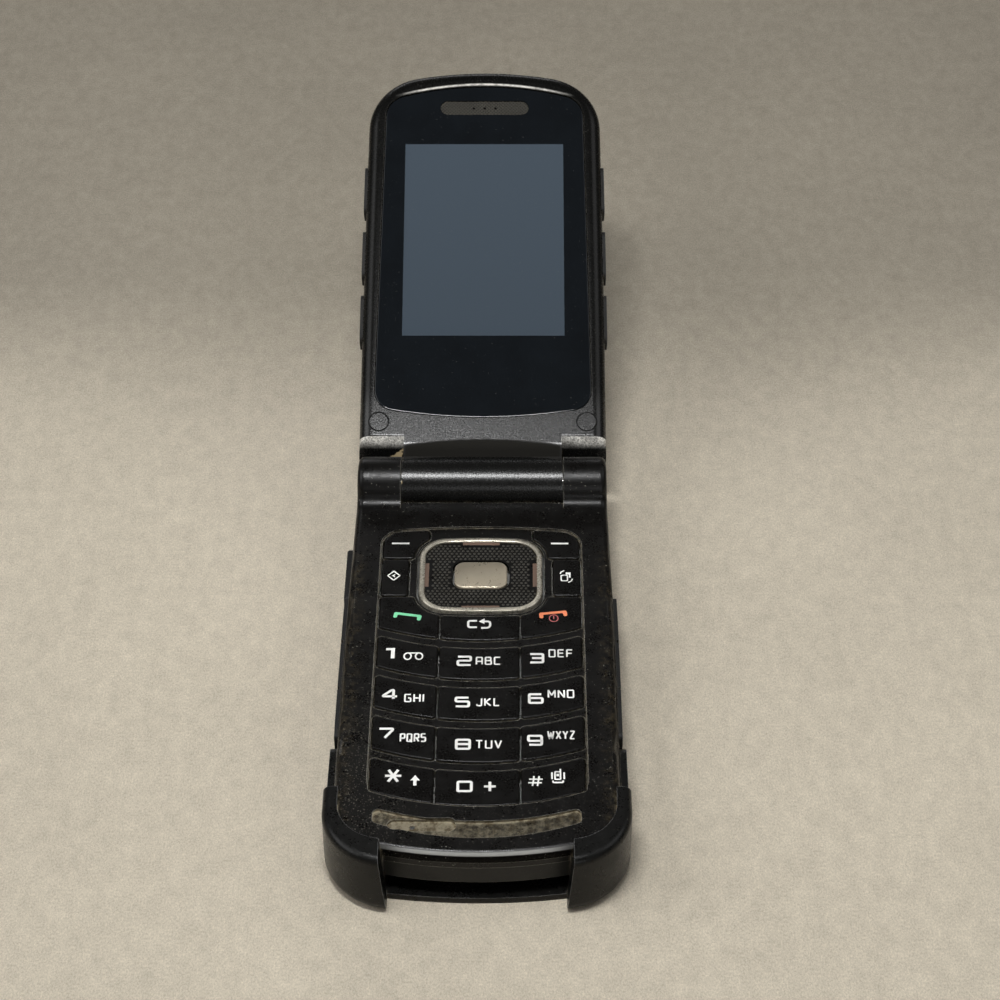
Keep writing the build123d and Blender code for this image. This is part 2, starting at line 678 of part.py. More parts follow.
def scoop_tool():
    """Crescent hollow of the chin with the deeper microphone pocket."""
    side_y = ahead(SCOOP_TOP) + SCOOP_TOP_R - sqrt(SCOOP_TOP_R ** 2 - SCOOP_HALF ** 2)
    low_y = side_y - SCOOP_END
    crescent = make_face([
        ThreePointArc((-SCOOP_HALF, side_y), (0, ahead(SCOOP_TOP)), (SCOOP_HALF, side_y)),
        Line((SCOOP_HALF, side_y), (SCOOP_HALF, low_y)),
        ThreePointArc((SCOOP_HALF, low_y), (0, ahead(SCOOP_BOTTOM)), (-SCOOP_HALF, low_y)),
        Line((-SCOOP_HALF, low_y), (-SCOOP_HALF, side_y)),
    ])
    crescent = fillet(crescent.vertices(), SCOOP_END_R)
    hollow = prism(crescent, FACE_Z - SCOOP_DEPTH, FACE_Z + 1)
    middle_x = (MIC_LOW_X + MIC_HIGH_X) / 2
    pocket = Pos(middle_x, ahead(MIC_POCKET_AT)) * SlotOverall(MIC_HIGH_X - MIC_LOW_X, MIC_POCKET_W)
    hollow += prism(pocket, FACE_Z - SCOOP_DEPTH - MIC_POCKET_DEPTH, FACE_Z + 1)
    return hollow + disc(MIC_HOLE_R, MIC_HOLE_X, ahead(MIC_POCKET_AT), PARTING_Z, FACE_Z)


def chin_recess_tool():
    """Room in front of the chin's set-back wall, and under it."""
    across, front = (-CHIN_RECESS_HALF, CHIN_RECESS_HALF), (ahead(BIG), ahead(CUP_FROM))
    before_wall = slab(across, front, (-1, FACE_Z - CHIN_BAND)) - prism(base_plan(-CHIN_RECESS), -1, FACE_Z)
    under_wall = slab(across, front, (-1, CHIN_LIP_Z)) - prism(base_plan(-CHIN_UNDERCUT), -1, FACE_Z)
    return before_wall + under_wall


def base_front_housing():
    """Upper half of the base: key plate, knuckles, chin lip."""
    body = front_form()
    body -= cradle()
    body -= hinge_bores()
    cavity = prism(base_plan(-WALL), PARTING_Z - 1, ROOF_Z)
    body -= cavity & slab((-BIG, BIG), (ahead(BASE_LENGTH), ahead(HINGE_BLOCK)), (0, BASE_T))
    body -= prism(well_plan(), FACE_Z - WELL_DEPTH, FACE_Z + 1)
    for plan in number_key_plans(KEY_GAP):
        body -= prism(plan, ROOF_Z - 1, FACE_Z + 1)
    for plan in upper_key_plans(KEY_GAP).values():
        body -= prism(plan, ROOF_Z - 1, FACE_Z + 1)
    body -= prism(nav_plan(NAV_GAP), ROOF_Z - 1, FACE_Z + 1)
    body -= scoop_tool()
    body -= chin_recess_tool()
    for x, y in base_screw_places():
        body += disc(BOSS_R, x, y, PARTING_Z, ROOF_Z)
        body -= disc(SCREW_R, x, y, PARTING_Z - 1, SCREW_POCKET + SCREW_HEAD_T + SCREW_LENGTH)
    return body - base_grip_space()


# ---------------------------------------------------------------- rear housing of the base
def battery_plan(grow=0.0):
    """Outline of the battery."""
    return rounded_rectangle((-BATTERY_HALF - grow, BATTERY_HALF + grow),
                             (ahead(BATTERY_NEAR + BATTERY_LENGTH) - grow, ahead(BATTERY_NEAR) + grow),
                             BATTERY_CORNER_R + grow)


def cover_plan(grow=0.0):
    """Outline of the battery cover."""
    return rounded_rectangle((-COVER_HALF - grow, COVER_HALF + grow),
                             (ahead(COVER_END) - grow, ahead(COVER_NEAR) + grow),
                             COVER_CORNER_R + grow)


def chin_lift_tool():
    """Wedge that lifts the chin's underside clear of the corner guard."""
    start, full = ahead(CHIN_LIFT_FROM), ahead(CHIN_POCKET_FROM)
    profile = make_face(Polyline((start, 0), (full, CHIN_LIFT), (ahead(BIG), CHIN_LIFT), (ahead(BIG), -1),
                                 (start, -1), close=True))
    return along_x(profile, -BIG / 2, BIG / 2)


def base_screw_places():
    """Plan positions of the four base screws."""
    return [(x, ahead(d)) for d in (BASE_SCREW_REAR, BASE_SCREW_FRONT) for x in (-BASE_SCREW_X, BASE_SCREW_X)]


def side_key_body(grow=0.0, out=0.0, back=0.0):
    """Block of the side key in the left flank, grown for its pocket."""
    key_span = (ahead(SIDE_KEY_FROM + SIDE_KEY_LENGTH) - grow, ahead(SIDE_KEY_FROM) + grow)
    profile = rounded_rectangle(key_span, (SIDE_KEY_LOW - grow, SIDE_KEY_LOW + SIDE_KEY_H + grow),
                                SIDE_KEY_END_R + grow)
    return along_x(profile, -HALF_W_WAIST - SIDE_KEY_PROUD - out, -HALF_W_WAIST + SIDE_KEY_DEPTH + back)


def port_cover_body(grow=0.0, out=0.0):
    """Port cover lying in the right flank, grown for its seat."""
    profile = rounded_rectangle((ahead(PORT_FROM + PORT_LENGTH) - grow, ahead(PORT_FROM) + grow),
                                (PORT_LOW - grow, PORT_LOW + PORT_H + grow), PORT_END_R + grow)
    return flank_piece(profile, PORT_PROUD + out, PORT_PROUD - PORT_COVER_T - grow)


def port_mouth(grow=0.0):
    """The connector's room behind the port cover."""
    middle = PORT_LOW + PORT_H / 2
    centre_y = ahead(PORT_FROM + PORT_LENGTH / 2)
    half_w, half_h = PORT_MOUTH_W / 2 + grow, PORT_MOUTH_H / 2 + grow
    return slab((HALF_W_WAIST - PORT_COVER_T - PORT_DEPTH, HALF_W_HINGE - PORT_COVER_T - PORT_COVER_GAP),
                (centre_y - half_w, centre_y + half_w), (middle - half_h, middle + half_h))


def base_rear_housing():
    """Lower half of the base: battery well, board shelf, flanks and chin wall."""
    body = prism(base_plan(), 0, PARTING_Z)
    body = fillet(body.edges().filter_by(Axis.Z).group_by(Axis.Y)[-1], FACE_EDGE_R)
    body = fillet(lower_edges(body), BELLY_EDGE_R)
    body -= cradle()
    body -= chin_lift_tool()
    body -= prism(battery_plan(BATTERY_GAP), -1, BATTERY_TOP_Z + BATTERY_GAP)
    body -= prism(cover_plan(COVER_GAP), -1, COVER_T)
    board_room = prism(base_plan(-WALL), BOARD_LOW_Z, BASE_T)
    body -= board_room & slab((-BIG, BIG), (ahead(BASE_LENGTH), ahead(HINGE_BLOCK)), (0, BASE_T))
    body -= chin_recess_tool()
    chin_room = prism(base_plan(-CHIN_UNDERCUT - PLATE_T), CHIN_LIFT + CHIN_POCKET_FLOOR, BASE_T)
    chin_room += prism(base_plan(-WALL), CHIN_LIP_Z + PLATE_T, BASE_T)
    body -= chin_room & slab((-BIG, BIG), (ahead(BASE_LENGTH), ahead(CHIN_POCKET_FROM)), (0, BASE_T))
    body -= disc(LOCK_BAR_HALF + LOCK_GAP, 0, ahead(LOCK_AT), COVER_T, COVER_T + 2 * LOCK_GAP + LOCK_BAR_T)
    for x, y in base_screw_places():
        body -= disc(SCREW_HEAD_R, x, y, -1, SCREW_POCKET + SCREW_HEAD_T)
        body += disc(BOSS_R, x, y, SCREW_POCKET + SCREW_HEAD_T, PARTING_Z)
        body -= disc(SCREW_R, x, y, 0, BASE_T)
    body -= side_key_body(SIDE_KEY_GAP, 1, SIDE_KEY_TRAVEL + TRAVEL_SPARE)
    body -= port_cover_body(PORT_COVER_GAP, 1)
    body -= port_mouth()
    body -= contact_block(CONTACT_GAP)
    return body - base_grip_space()


# ---------------------------------------------------------------- pieces inside and on the base
def battery_cover():
    """Cover that closes the battery well, with the bayonet opening of its lock."""
    cover = prism(cover_plan(), 0, COVER_T)
    lock_y = ahead(LOCK_AT)
    cover -= disc(LOCK_R + LOCK_GAP, 0, lock_y, -1, COVER_T + 1)
    bar_length = 2 * (LOCK_BAR_HALF + LOCK_GAP)
    slot = Pos(0, lock_y) * Rectangle(bar_length, LOCK_BAR_W + 2 * LOCK_GAP)
    return cover - prism(slot, -1, COVER_T + 1)


def cover_lock():
    """Quarter-turn lock: slotted disc in the cover and a bar behind it."""
    lock_y = ahead(LOCK_AT)
    lock = disc(LOCK_R, 0, lock_y, 0, COVER_T + LOCK_GAP)
    bar = Pos(0, lock_y) * Rot(0, 0, 90) * SlotOverall(2 * LOCK_BAR_HALF, LOCK_BAR_W)
    lock += prism(bar, COVER_T + LOCK_GAP, COVER_T + LOCK_GAP + LOCK_BAR_T)
    slot = Pos(0, lock_y) * SlotOverall(2 * LOCK_R - 2, LOCK_SLOT_W)
    return lock - prism(slot, -1, LOCK_SLOT_DEPTH)


def battery():
    """Flat battery pack."""
    pack = prism(battery_plan(), BATTERY_LOW_Z, BATTERY_TOP_Z)
    return fillet(upper_edges(pack) + lower_edges(pack), BATTERY_CORNER_R / 3)


def contact_block(grow=0.0):
    """Row of spring contacts between the board and the battery's end, grown for its slot."""
    near = BATTERY_NEAR + BATTERY_LENGTH
    row = Part() + [
        slab((x - CONTACT_W / 2 - grow, x + CONTACT_W / 2 + grow),
             (ahead(near + CONTACT_T) - grow, ahead(near)),
             (BOARD_LOW_Z - CONTACT_DROP - grow, BOARD_LOW_Z))
        for x in [(index - (CONTACTS - 1) / 2) * CONTACT_PITCH for index in range(CONTACTS)]
    ]
    return row


def stack_plan(inset, rear, front):
    """Outline of a sheet inside the base, with notches round the screw bosses."""
    span = Pos(0, (ahead(rear) + ahead(front)) / 2) * Rectangle(BIG, front - rear)
    plan = base_plan(-WALL - inset) & span
    notch = BOSS_R + BOARD_GAP
    for x, y in base_screw_places():
        side = 1 if x > 0 else -1
        plan -= Pos(x, y) * Circle(notch) + Pos(x + side * notch, y) * Rectangle(2 * notch, 2 * notch)
    return plan


def main_board():
    """Main board on its shelf."""
    return prism(stack_plan(BOARD_GAP, BOARD_REAR, BOARD_FRONT), BOARD_LOW_Z, BOARD_TOP_Z)


def dome_sheet():
    """Sheet of snap domes on the board."""
    plan = stack_plan(BOARD_GAP + STACK_INSET, WELL_TOP, WELL_BOTTOM + STACK_INSET)
    return prism(plan, BOARD_TOP_Z, DOME_TOP_Z)


def key_mat():
    """Rubber mat that springs the keys."""
    plan = stack_plan(BOARD_GAP + STACK_INSET, WELL_TOP, WELL_BOTTOM + STACK_INSET)
    return prism(plan, DOME_TOP_Z, MAT_TOP_Z)


def microphone():
    """Microphone capsule under its hole in the chin."""
    return disc(MIC_R, MIC_HOLE_X, ahead(MIC_POCKET_AT), ROOF_Z - MIC_T, ROOF_Z)


def vibration_motor():
    """Round motor with its off-centre weight, on the chin pocket's floor."""
    axis_z = CHIN_LIFT + CHIN_POCKET_FLOOR + MOTOR_R + PIN_FIT
    y = ahead(MOTOR_AT)
    can = rod_x(MOTOR_R, MOTOR_X, MOTOR_X + MOTOR_LENGTH, y, axis_z)
    shaft = rod_x(MOTOR_R / 4, MOTOR_X + MOTOR_LENGTH, MOTOR_X + 1.5 * MOTOR_LENGTH, y, axis_z)
    weight = rod_x(MOTOR_R - PIN_FIT, MOTOR_X + 1.1 * MOTOR_LENGTH, MOTOR_X + 1.5 * MOTOR_LENGTH, y, axis_z)
    return can + shaft + (weight & slab((-BIG, BIG), (-BIG, BIG), (axis_z - MOTOR_R, axis_z + MOTOR_R / 4)))


def antenna():
    """Moulded antenna carrier in the chin."""
    floor = CHIN_LIFT + CHIN_POCKET_FLOOR
    plan = rounded_rectangle((-ANTENNA_HALF, ANTENNA_HALF),
                             (ahead(ANTENNA_AT + ANTENNA_W / 2), ahead(ANTENNA_AT - ANTENNA_W / 2)), 1.0)
    return prism(plan, floor, floor + ANTENNA_T)


def port_connector():
    """Charging connector: a thin shell with a tongue inside."""
    outer = port_mouth()
    low, high = outer.bounding_box().min, outer.bounding_box().max
    shell_t = PORT_SHELL_T
    hollow = slab((low.X + 1, high.X + 1), (low.Y + shell_t, high.Y - shell_t),
                  (low.Z + shell_t, high.Z - shell_t))
    middle_z = (low.Z + high.Z) / 2
    tongue = slab((low.X, high.X - 1), (low.Y + 4 * shell_t, high.Y - 4 * shell_t),
                  (middle_z - shell_t, middle_z + shell_t))
    return outer - hollow + tongue


def base_screws():
    """Four equal screws that join the housings of the base."""
    head_low, head_high = SCREW_POCKET, SCREW_POCKET + SCREW_HEAD_T
    screws = Part()
    for x, y in base_screw_places():
        screw = disc(SCREW_HEAD_R, x, y, head_low, head_high) + disc(SCREW_R, x, y, head_high,
                                                                       head_high + SCREW_LENGTH)
        screws += screw
    return screws


def side_key():
    """Side key with upright grip grooves."""
    body = side_key_body()
    body = fillet(body.faces().sort_by(Axis.X)[0].outer_wire().edges(), SIDE_KEY_END_R / 2)
    grooves = int((SIDE_KEY_LENGTH - 2 * SIDE_KEY_END_R) / RIB_PITCH)
    middle = ahead(SIDE_KEY_FROM + SIDE_KEY_LENGTH / 2)
    x_face = -HALF_W_WAIST - SIDE_KEY_PROUD
    for index in range(grooves):
        y = middle + (index - (grooves - 1) / 2) * RIB_PITCH
        groove = Pos(x_face, y, BASE_T / 2) * Rot(0, 0, 45) * Box(RIB_GROOVE, RIB_GROOVE, BASE_T)
        body -= groove
    return body


def port_cover():
    """Rubber cover of the charging connector, held at its hinge-side end."""
    return port_cover_body()


def base_grips():
    """Rubber grips in the flanks of the base, notched between their pads: left and right."""
    grip = flank_piece(grip_profile(), GRIP_PROUD, -GRIP_DEPTH)
    length = GRIP_TO - GRIP_FROM
    for index in range(1, GRIP_PADS):
        y = ahead(GRIP_FROM + length * index / GRIP_PADS)
        x = HALF_W_WAIST + GRIP_PROUD
        grip -= Pos(x, y, BASE_T / 2) * Cylinder(GRIP_NOTCH, BASE_T)
    return mirror(grip, Plane.YZ), grip


def hinge_pin():
    """Pin pressed into the left knuckle, on which the barrel turns."""
    return rod_x(PIN_R, -KNUCKLE_IN - PIN_IN_KNUCKLE, -BARREL_HALF + PIN_IN_BARREL)


# ---------------------------------------------------------------- corner guard
def guard_plan(grow=0.0):
    """Outline of the corner guard: straight flanks and large round corners."""
    halves = (GUARD_HALF, GUARD_HALF + FLANK_BOW, GUARD_HALF)
    middle = (WING_FROM + GUARD_LENGTH) / 2
    return tongue_plan(ahead(WING_FROM), ahead(middle), ahead(GUARD_LENGTH), halves, GUARD_FRONT_SAG,
                       GUARD_CORNER_R, grow)


def guard_opening():
    """Room between the two cups; its flanks lean inwards towards the resting face."""
    top = FACE_Z + CUP_RISE + 1
    outline = make_face(Polyline((-GUARD_FOOT_HALF, -1), (GUARD_FOOT_HALF, -1), (GUARD_OPEN_HALF, top),
                                 (-GUARD_OPEN_HALF, top), close=True))
    return extrude(Plane.XZ.offset(-ahead(BIG)) * outline, amount=BIG - CUP_FROM, dir=(0, 1, 0))


def corner_guard():
    """Moulding that cups both lower corners, with side wings and a floor under the chin."""
    top = FACE_Z + CUP_RISE
    body = prism(guard_plan(), 0, top)
    body = fillet(lower_edges(body), GUARD_EDGE_R)
    body = fillet(upper_edges(body), GUARD_TOP_R)
    cups = body & slab((-BIG, BIG), (ahead(BIG), ahead(CUP_FROM)), (0, top))
    cups -= guard_opening()
    wing_body = fillet(lower_edges(prism(guard_plan(-WING_STEP), 0, top)), GUARD_EDGE_R)
    wing_profile = rounded_rectangle((ahead(CUP_FROM) - WING_END_R * 2, ahead(WING_FROM)),
                                     (-WING_END_R * 2, FACE_Z - WING_DROP), WING_END_R)
    wings = wing_body & in_pair(along_x(wing_profile, 0, BIG))
    floor = body & slab((-BIG, BIG), (ahead(BIG), ahead(GUARD_FLOOR_FROM)), (0, GUARD_FLOOR))
    guard = cups + wings + floor
    inside = prism(base_plan(GUARD_GAP), GUARD_FLOOR, FACE_Z + GUARD_GAP)
    inside += prism(base_plan(-CUP_LAP), FACE_Z, top + 1)
    inside += prism(base_plan(GUARD_GAP), -1, GUARD_FLOOR) & slab(
        (-BIG, BIG), (ahead(GUARD_FLOOR_FROM), BIG), (-1, GUARD_FLOOR))
    return guard - inside - (guard_opening() - prism(guard_plan(-LEDGE_SETBACK), -1, BASE_T))


# ---------------------------------------------------------------- lid, drawn flat
# In this section Y is the distance from the hinge axis and Z the height over the hinge plane.
def lid_plan(grow=0.0):
    """Outline of the lid from the hinge axis to its tip."""
    halves = (LID_HALF_REAR, LID_HALF_MID, LID_HALF_TIP)
    return tongue_plan(0, LID_LENGTH / 2, LID_LENGTH, halves, LID_TIP_SAG, LID_CORNER_R, grow)


def lens_plan(grow=0.0):
    """Outline of the lens: tapered flanks, arched ends."""
    low, high = LENS_LOW - grow, LENS_HIGH + grow
    half_low, half_high = LENS_HALF_LOW + grow, LENS_HALF_HIGH + grow
    low_side, high_side = low + LENS_LOW_SAG, high - LENS_HIGH_SAG
    outline = make_face([
        ThreePointArc((-half_low, low_side), (0, low), (half_low, low_side)),
        Line((half_low, low_side), (half_high, high_side)),
        ThreePointArc((half_high, high_side), (0, high), (-half_high, high_side)),
        Line((-half_high, high_side), (-half_low, low_side)),
    ])
    outline = fillet(outline.vertices().sort_by(Axis.Y)[:2], LENS_LOW_R + grow)
    return fillet(outline.vertices().sort_by(Axis.Y)[-2:], LENS_HIGH_R + grow)


def neck_profile():
    """Side view of the lid between the knuckles: face, lower neck and the sweep of the outer face."""
    face, foot = -FACE_DROP, -FACE_DROP - NECK_DROP
    sweep = TangentArc((LID_BACK_FROM, -LID_T), (0, -KNUCKLE_R), tangent=(-1, 0))
    rest = Polyline((0, -KNUCKLE_R), (0, foot), (NECK_FOOT, foot), (LID_FACE_END, face), (BIG, face),
                    (BIG, -LID_T), (LID_BACK_FROM, -LID_T))
    shape = make_face([sweep, *rest.edges()])
    return fillet(shape.vertices().sort_by_distance((LID_FACE_END, face))[0], NECK_BROW_R)


def shoulder_profile():
    """Side view of the lid behind the knuckles: the face rounds down clear of them."""
    region = make_face(Polyline((SHOULDER_END, BIG), (SHOULDER_END, -FACE_DROP),
                                (SHOULDER_FOOT, -SHOULDER_FOOT_DROP), (SHOULDER_FOOT, -BIG),
                                (BIG, -BIG), (BIG, BIG), close=True))
    shape = neck_profile() & region
    brow = shape.vertices().sort_by_distance((SHOULDER_END, -FACE_DROP))[0]
    return fillet(brow, FACE_EDGE_R)


def lid_form():
    """Outer form of the whole lid without the barrel."""
    body = prism(lid_plan(), -LID_T, -FACE_DROP)
    body = fillet(upper_edges(body), LID_FACE_R)
    body = fillet(lower_edges(body), LID_BACK_R)
    neck = along_x(neck_profile(), -BARREL_HALF, BARREL_HALF)
    shoulders = in_pair(along_x(shoulder_profile(), BARREL_HALF, BIG))
    return body & (neck + shoulders)


def barrel_bores():
    """Bores of the barrel: running fit on the pin, seat of the cam cartridge and the flex roll."""
    pin_bore = rod_x(PIN_R + PIN_FIT, -BARREL_HALF - 1, -BARREL_HALF + PIN_IN_BARREL + 1, 0, 0)
    cam_seat = rod_x(CAM_R, BARREL_HALF - CAM_LENGTH - FLEX_ROLL, BARREL_HALF + 1, 0, 0)
    return pin_bore + cam_seat


def lid_above(level):
    """Everything over a level of the lid."""
    return slab((-BIG, BIG), (-BIG, BIG), (level, BIG))


def lid_cavity(low, high):
    """Hollow inside the lid's walls."""
    room = prism(lid_plan(-WALL), low, high)
    return room & slab((-BIG, BIG), (LID_CAVITY_FROM, BIG), (-BIG, BIG))


def pad_profile(start):
    """Side view of one rubber pad of the lid."""
    return rounded_rectangle((start, start + PAD_LENGTH), (-PAD_BOTTOM, -PAD_TOP), PAD_END_R)


def lid_pads(outside, inside):
    """Rubber pads of both flanks of the lid, between two offsets of its outline."""
    band = prism(lid_plan(outside) - lid_plan(inside), -LID_T, 0)
    profiles = Sketch() + [pad_profile(start) for start in PAD_STARTS]
    return in_pair(band & along_x(profiles, 0, BIG))


def ear_slot(low, high, grow=0.0):
    """Long rounded slot over the earpiece."""
    middle = (EAR_LOW + EAR_HIGH) / 2
    plan = Pos(0, middle) * SlotOverall(2 * (EAR_HALF + grow), EAR_HIGH - EAR_LOW + 2 * grow)
    return prism(plan, low, high)


def display_block(low, high, grow=0.0):
    """Room of the display module behind the lens."""
    half = DISPLAY_HALF + DISPLAY_BORDER + grow
    return slab((-half, half), (DISPLAY_LOW - DISPLAY_BORDER - grow, DISPLAY_HIGH + DISPLAY_BORDER + grow),
                (low, high))


def lid_screw_tool():
    """Pair of plug, head and shank bores at the lid's two screws."""
    plug_low = -FACE_DROP + PLUG_PROUD - PLUG_T
    tool = disc(SCREW_HEAD_R, PLUG_X, PLUG_AT, plug_low - SCREW_HEAD_T, 1)
    tool += disc(SCREW_R, PLUG_X, PLUG_AT, -LID_T, 1)
    tool += disc(PLUG_R, PLUG_X, PLUG_AT, plug_low, 1)
    return in_pair(tool)


def lid_front_frame():
    """Inner half of the lid with the hinge barrel."""
    frame = lid_form() & lid_above(-LID_PARTING)
    frame += rod_x(KNUCKLE_R, -BARREL_HALF, BARREL_HALF, 0, 0)
    frame -= barrel_bores()
    frame -= lid_cavity(-LID_T, LID_ROOF_N)
    frame -= prism(lens_plan(LENS_GAP), LENS_SEAT_N, 1)
    frame -= display_block(-LID_PARTING, 1, LENS_GAP)
    frame -= ear_slot(-LID_PARTING, 1, -WALL / 2)
    frame -= lid_screw_tool()
    return frame - lid_pads(PAD_PROUD + 1, -PAD_DEPTH)


def speaker_slots():
    """Slots over the loudspeaker in the outer face."""
    rows = [SPEAKER_AT + (index - (SLOTS - 1) / 2) * SLOT_PITCH for index in range(SLOTS)]
    plans = Sketch() + [Pos(0, y) * SlotOverall(2 * SLOT_HALF, SLOT_W) for y in rows]
    return prism(plans, -BIG, LID_SKIN_N + 1)


def outer_plan(grow=0.0):
    """Outline of the outer window."""
    return rounded_rectangle((-OUTER_HALF - grow, OUTER_HALF + grow), (OUTER_LOW - grow, OUTER_HIGH + grow),
                             OUTER_CORNER_R + grow)


def lid_back_shell():
    """Outer half of the lid."""
    shell = lid_form() - lid_above(-LID_PARTING)
    shell -= rod_x(KNUCKLE_R + PIN_FIT / 2, -BARREL_HALF - 1, BARREL_HALF + 1, 0, 0)
    shell -= lid_cavity(LID_SKIN_N, 1)
    shell -= prism(outer_plan(OUTER_GAP), -BIG, -LID_T + OUTER_T)
    shell -= prism(outer_plan(-WALL), -BIG, LID_SKIN_N + 1)
    shell -= disc(CAMERA_RING_R, 0, CAMERA_AT, -BIG, LID_SKIN_N + 1)
    shell -= speaker_slots()
    plug_low = -FACE_DROP + PLUG_PROUD - PLUG_T
    shell -= in_pair(disc(SCREW_R, PLUG_X, PLUG_AT, plug_low - SCREW_HEAD_T - LID_SCREW_LENGTH, 0))
    return shell - lid_pads(PAD_PROUD + 1, -PAD_DEPTH)


def lid_lens():
    """Clear lens over the display, with a pocket for the earpiece mesh."""
    lens = prism(lens_plan(), LENS_SEAT_N, LENS_TOP_N)
    lens = fillet(upper_edges(lens), LENS_T / 4)
    return lens - ear_slot(-LID_T, 1)


def earpiece_mesh():
    """Fine mesh in the earpiece slot."""
    return ear_slot(LENS_SEAT_N, LENS_TOP_N - EAR_SINK, -LENS_GAP / 2)


def earpiece():
    """Earpiece capsule behind the mesh."""
    middle = (EAR_LOW + EAR_HIGH) / 2
    plan = rounded_rectangle((-EARPIECE_HALF, EARPIECE_HALF),
                             (middle - EARPIECE_W / 2, middle + EARPIECE_W / 2), 1.0)
    return prism(plan, LID_ROOF_N - EARPIECE_T, LID_ROOF_N)


def display_module():
    """Display panel behind the lens."""
    return display_block(DISPLAY_LOW_N, DISPLAY_TOP_N)


def lid_board():
    """Small board behind the display."""
    plan = lid_plan(-WALL - BOARD_GAP) & Pos(0, (LID_CAVITY_FROM + BOARD_GAP + LID_BOARD_TO) / 2) * Rectangle(
        BIG, LID_BOARD_TO - LID_CAVITY_FROM - BOARD_GAP)
    return prism(plan, DISPLAY_LOW_N - LID_BOARD_T, DISPLAY_LOW_N)


def lid_plugs():
    """Two round plugs over the lid's screws."""
    top = -FACE_DROP + PLUG_PROUD
    plug = disc(PLUG_R, PLUG_X, PLUG_AT, top - PLUG_T, top)
    return in_pair(fillet(upper_edges(plug), PLUG_T / 4))


def lid_screws():
    """Two screws that join the halves of the lid."""
    head_top = -FACE_DROP + PLUG_PROUD - PLUG_T
    head = disc(SCREW_HEAD_R, PLUG_X, PLUG_AT, head_top - SCREW_HEAD_T, head_top)
    shank = disc(SCREW_R, PLUG_X, PLUG_AT, head_top - SCREW_HEAD_T - LID_SCREW_LENGTH, head_top)
    return in_pair(head + shank)


def outer_window():
    """Window in the outer face."""
    pane = prism(outer_plan(), -LID_T, -LID_T + OUTER_T)
    return fillet(lower_edges(pane), OUTER_T / 4)


def outer_display():
    """Small display behind the outer window."""
    half = OUTER_HALF - 2 * WALL
    low = -LID_T + OUTER_T
    return slab((-half, half), (OUTER_LOW + 2 * WALL, OUTER_HIGH - 2 * WALL), (low, low + DISPLAY_T))


def camera():
    """Camera in the outer face: ring, sunk glass and module."""
    low = -LID_T - CAMERA_PROUD
    body = disc(CAMERA_RING_R, 0, CAMERA_AT, low, low + CAMERA_T + CAMERA_PROUD)
    body = fillet(lower_edges(body), CAMERA_PROUD)
    return body - disc(CAMERA_GLASS_R, 0, CAMERA_AT, low - 1, low + 2 * CAMERA_PROUD)


def loudspeaker():
    """Loudspeaker behind its slots."""
    return disc(SPEAKER_R, 0, SPEAKER_AT, LID_SKIN_N, LID_SKIN_N + SPEAKER_T)


def hinge_cam():
    """Cam cartridge in the barrel; its nose turns in the right knuckle."""
    body = rod_x(CAM_R, BARREL_HALF - CAM_LENGTH, BARREL_HALF, 0, 0)
    return body + rod_x(CAM_NOSE_R, BARREL_HALF, BARREL_HALF + CAM_NOSE, 0, 0)


def hinge_flex():
    """Rolled flexible circuit in the middle of the barrel."""
    start = BARREL_HALF - CAM_LENGTH - FLEX_ROLL
    roll = rod_x(CAM_R - PIN_FIT, start + WALL, start + FLEX_ROLL - PIN_FIT, 0, 0)
    return roll - rod_x(PIN_R / 2, start, start + FLEX_ROLL, 0, 0)


def lid_pieces():
    """All pieces of the lid, drawn flat, by name."""
    return {
        "lid_front_frame": lid_front_frame(), "lid_back_shell": lid_back_shell(), "lid_lens": lid_lens(),
        "display_module": display_module(), "earpiece": earpiece(), "earpiece_mesh": earpiece_mesh(),
        "lid_board": lid_board(), "lid_grips": lid_pads(PAD_PROUD, -PAD_DEPTH), "lid_plugs": lid_plugs(),
        "lid_screws": lid_screws(), "outer_window": outer_window(), "outer_display": outer_display(),
        "camera": camera(), "loudspeaker": loudspeaker(), "hinge_cam": hinge_cam(),
        "hinge_flex": hinge_flex(),
    }


def base_pieces():
    """All pieces of the base, by name."""
    grip_left, grip_right = base_grips()
    pieces = {
        "base_front_housing": base_front_housing(), "base_rear_housing": base_rear_housing(),
        "battery_cover": battery_cover(), "cover_lock": cover_lock(), "battery": battery(),
        "battery_contacts": contact_block(), "main_board": main_board(), "dome_sheet": dome_sheet(),
        "key_mat": key_mat(), "microphone": microphone(), "vibration_motor": vibration_motor(),
        "antenna": antenna(), "port_connector": port_connector(), "port_cover": port_cover(),
        "base_screws": base_screws(), "side_key": side_key(), "base_grip_left": grip_left,
        "base_grip_right": grip_right, "hinge_pin": hinge_pin(), "corner_guard": corner_guard(),
    }
    return {**pieces, **keys(), **nav_pieces()}


def main():
    """Write one STEP file per piece, with the lid swung to its open stop."""
    os.makedirs("parts", exist_ok=True)
    swing = Pos(0, HINGE_Y, HINGE_Z) * Rot(LID_RAISE, 0, 0)
    for name, solid in base_pieces().items():
        export_step(solid, f"parts/{name}.step")
    for name, solid in lid_pieces().items():
        export_step(swing * solid, f"parts/{name}.step")


main()
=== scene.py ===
"""Looks of the rugged clamshell phone: finishes, key legends, dotted ring, mesh and studio."""
from __future__ import annotations

import json
import logging
import math
from dataclasses import dataclass, field, replace
from enum import Enum
from typing import Any, Callable

import bpy
from mathutils import Matrix, Vector

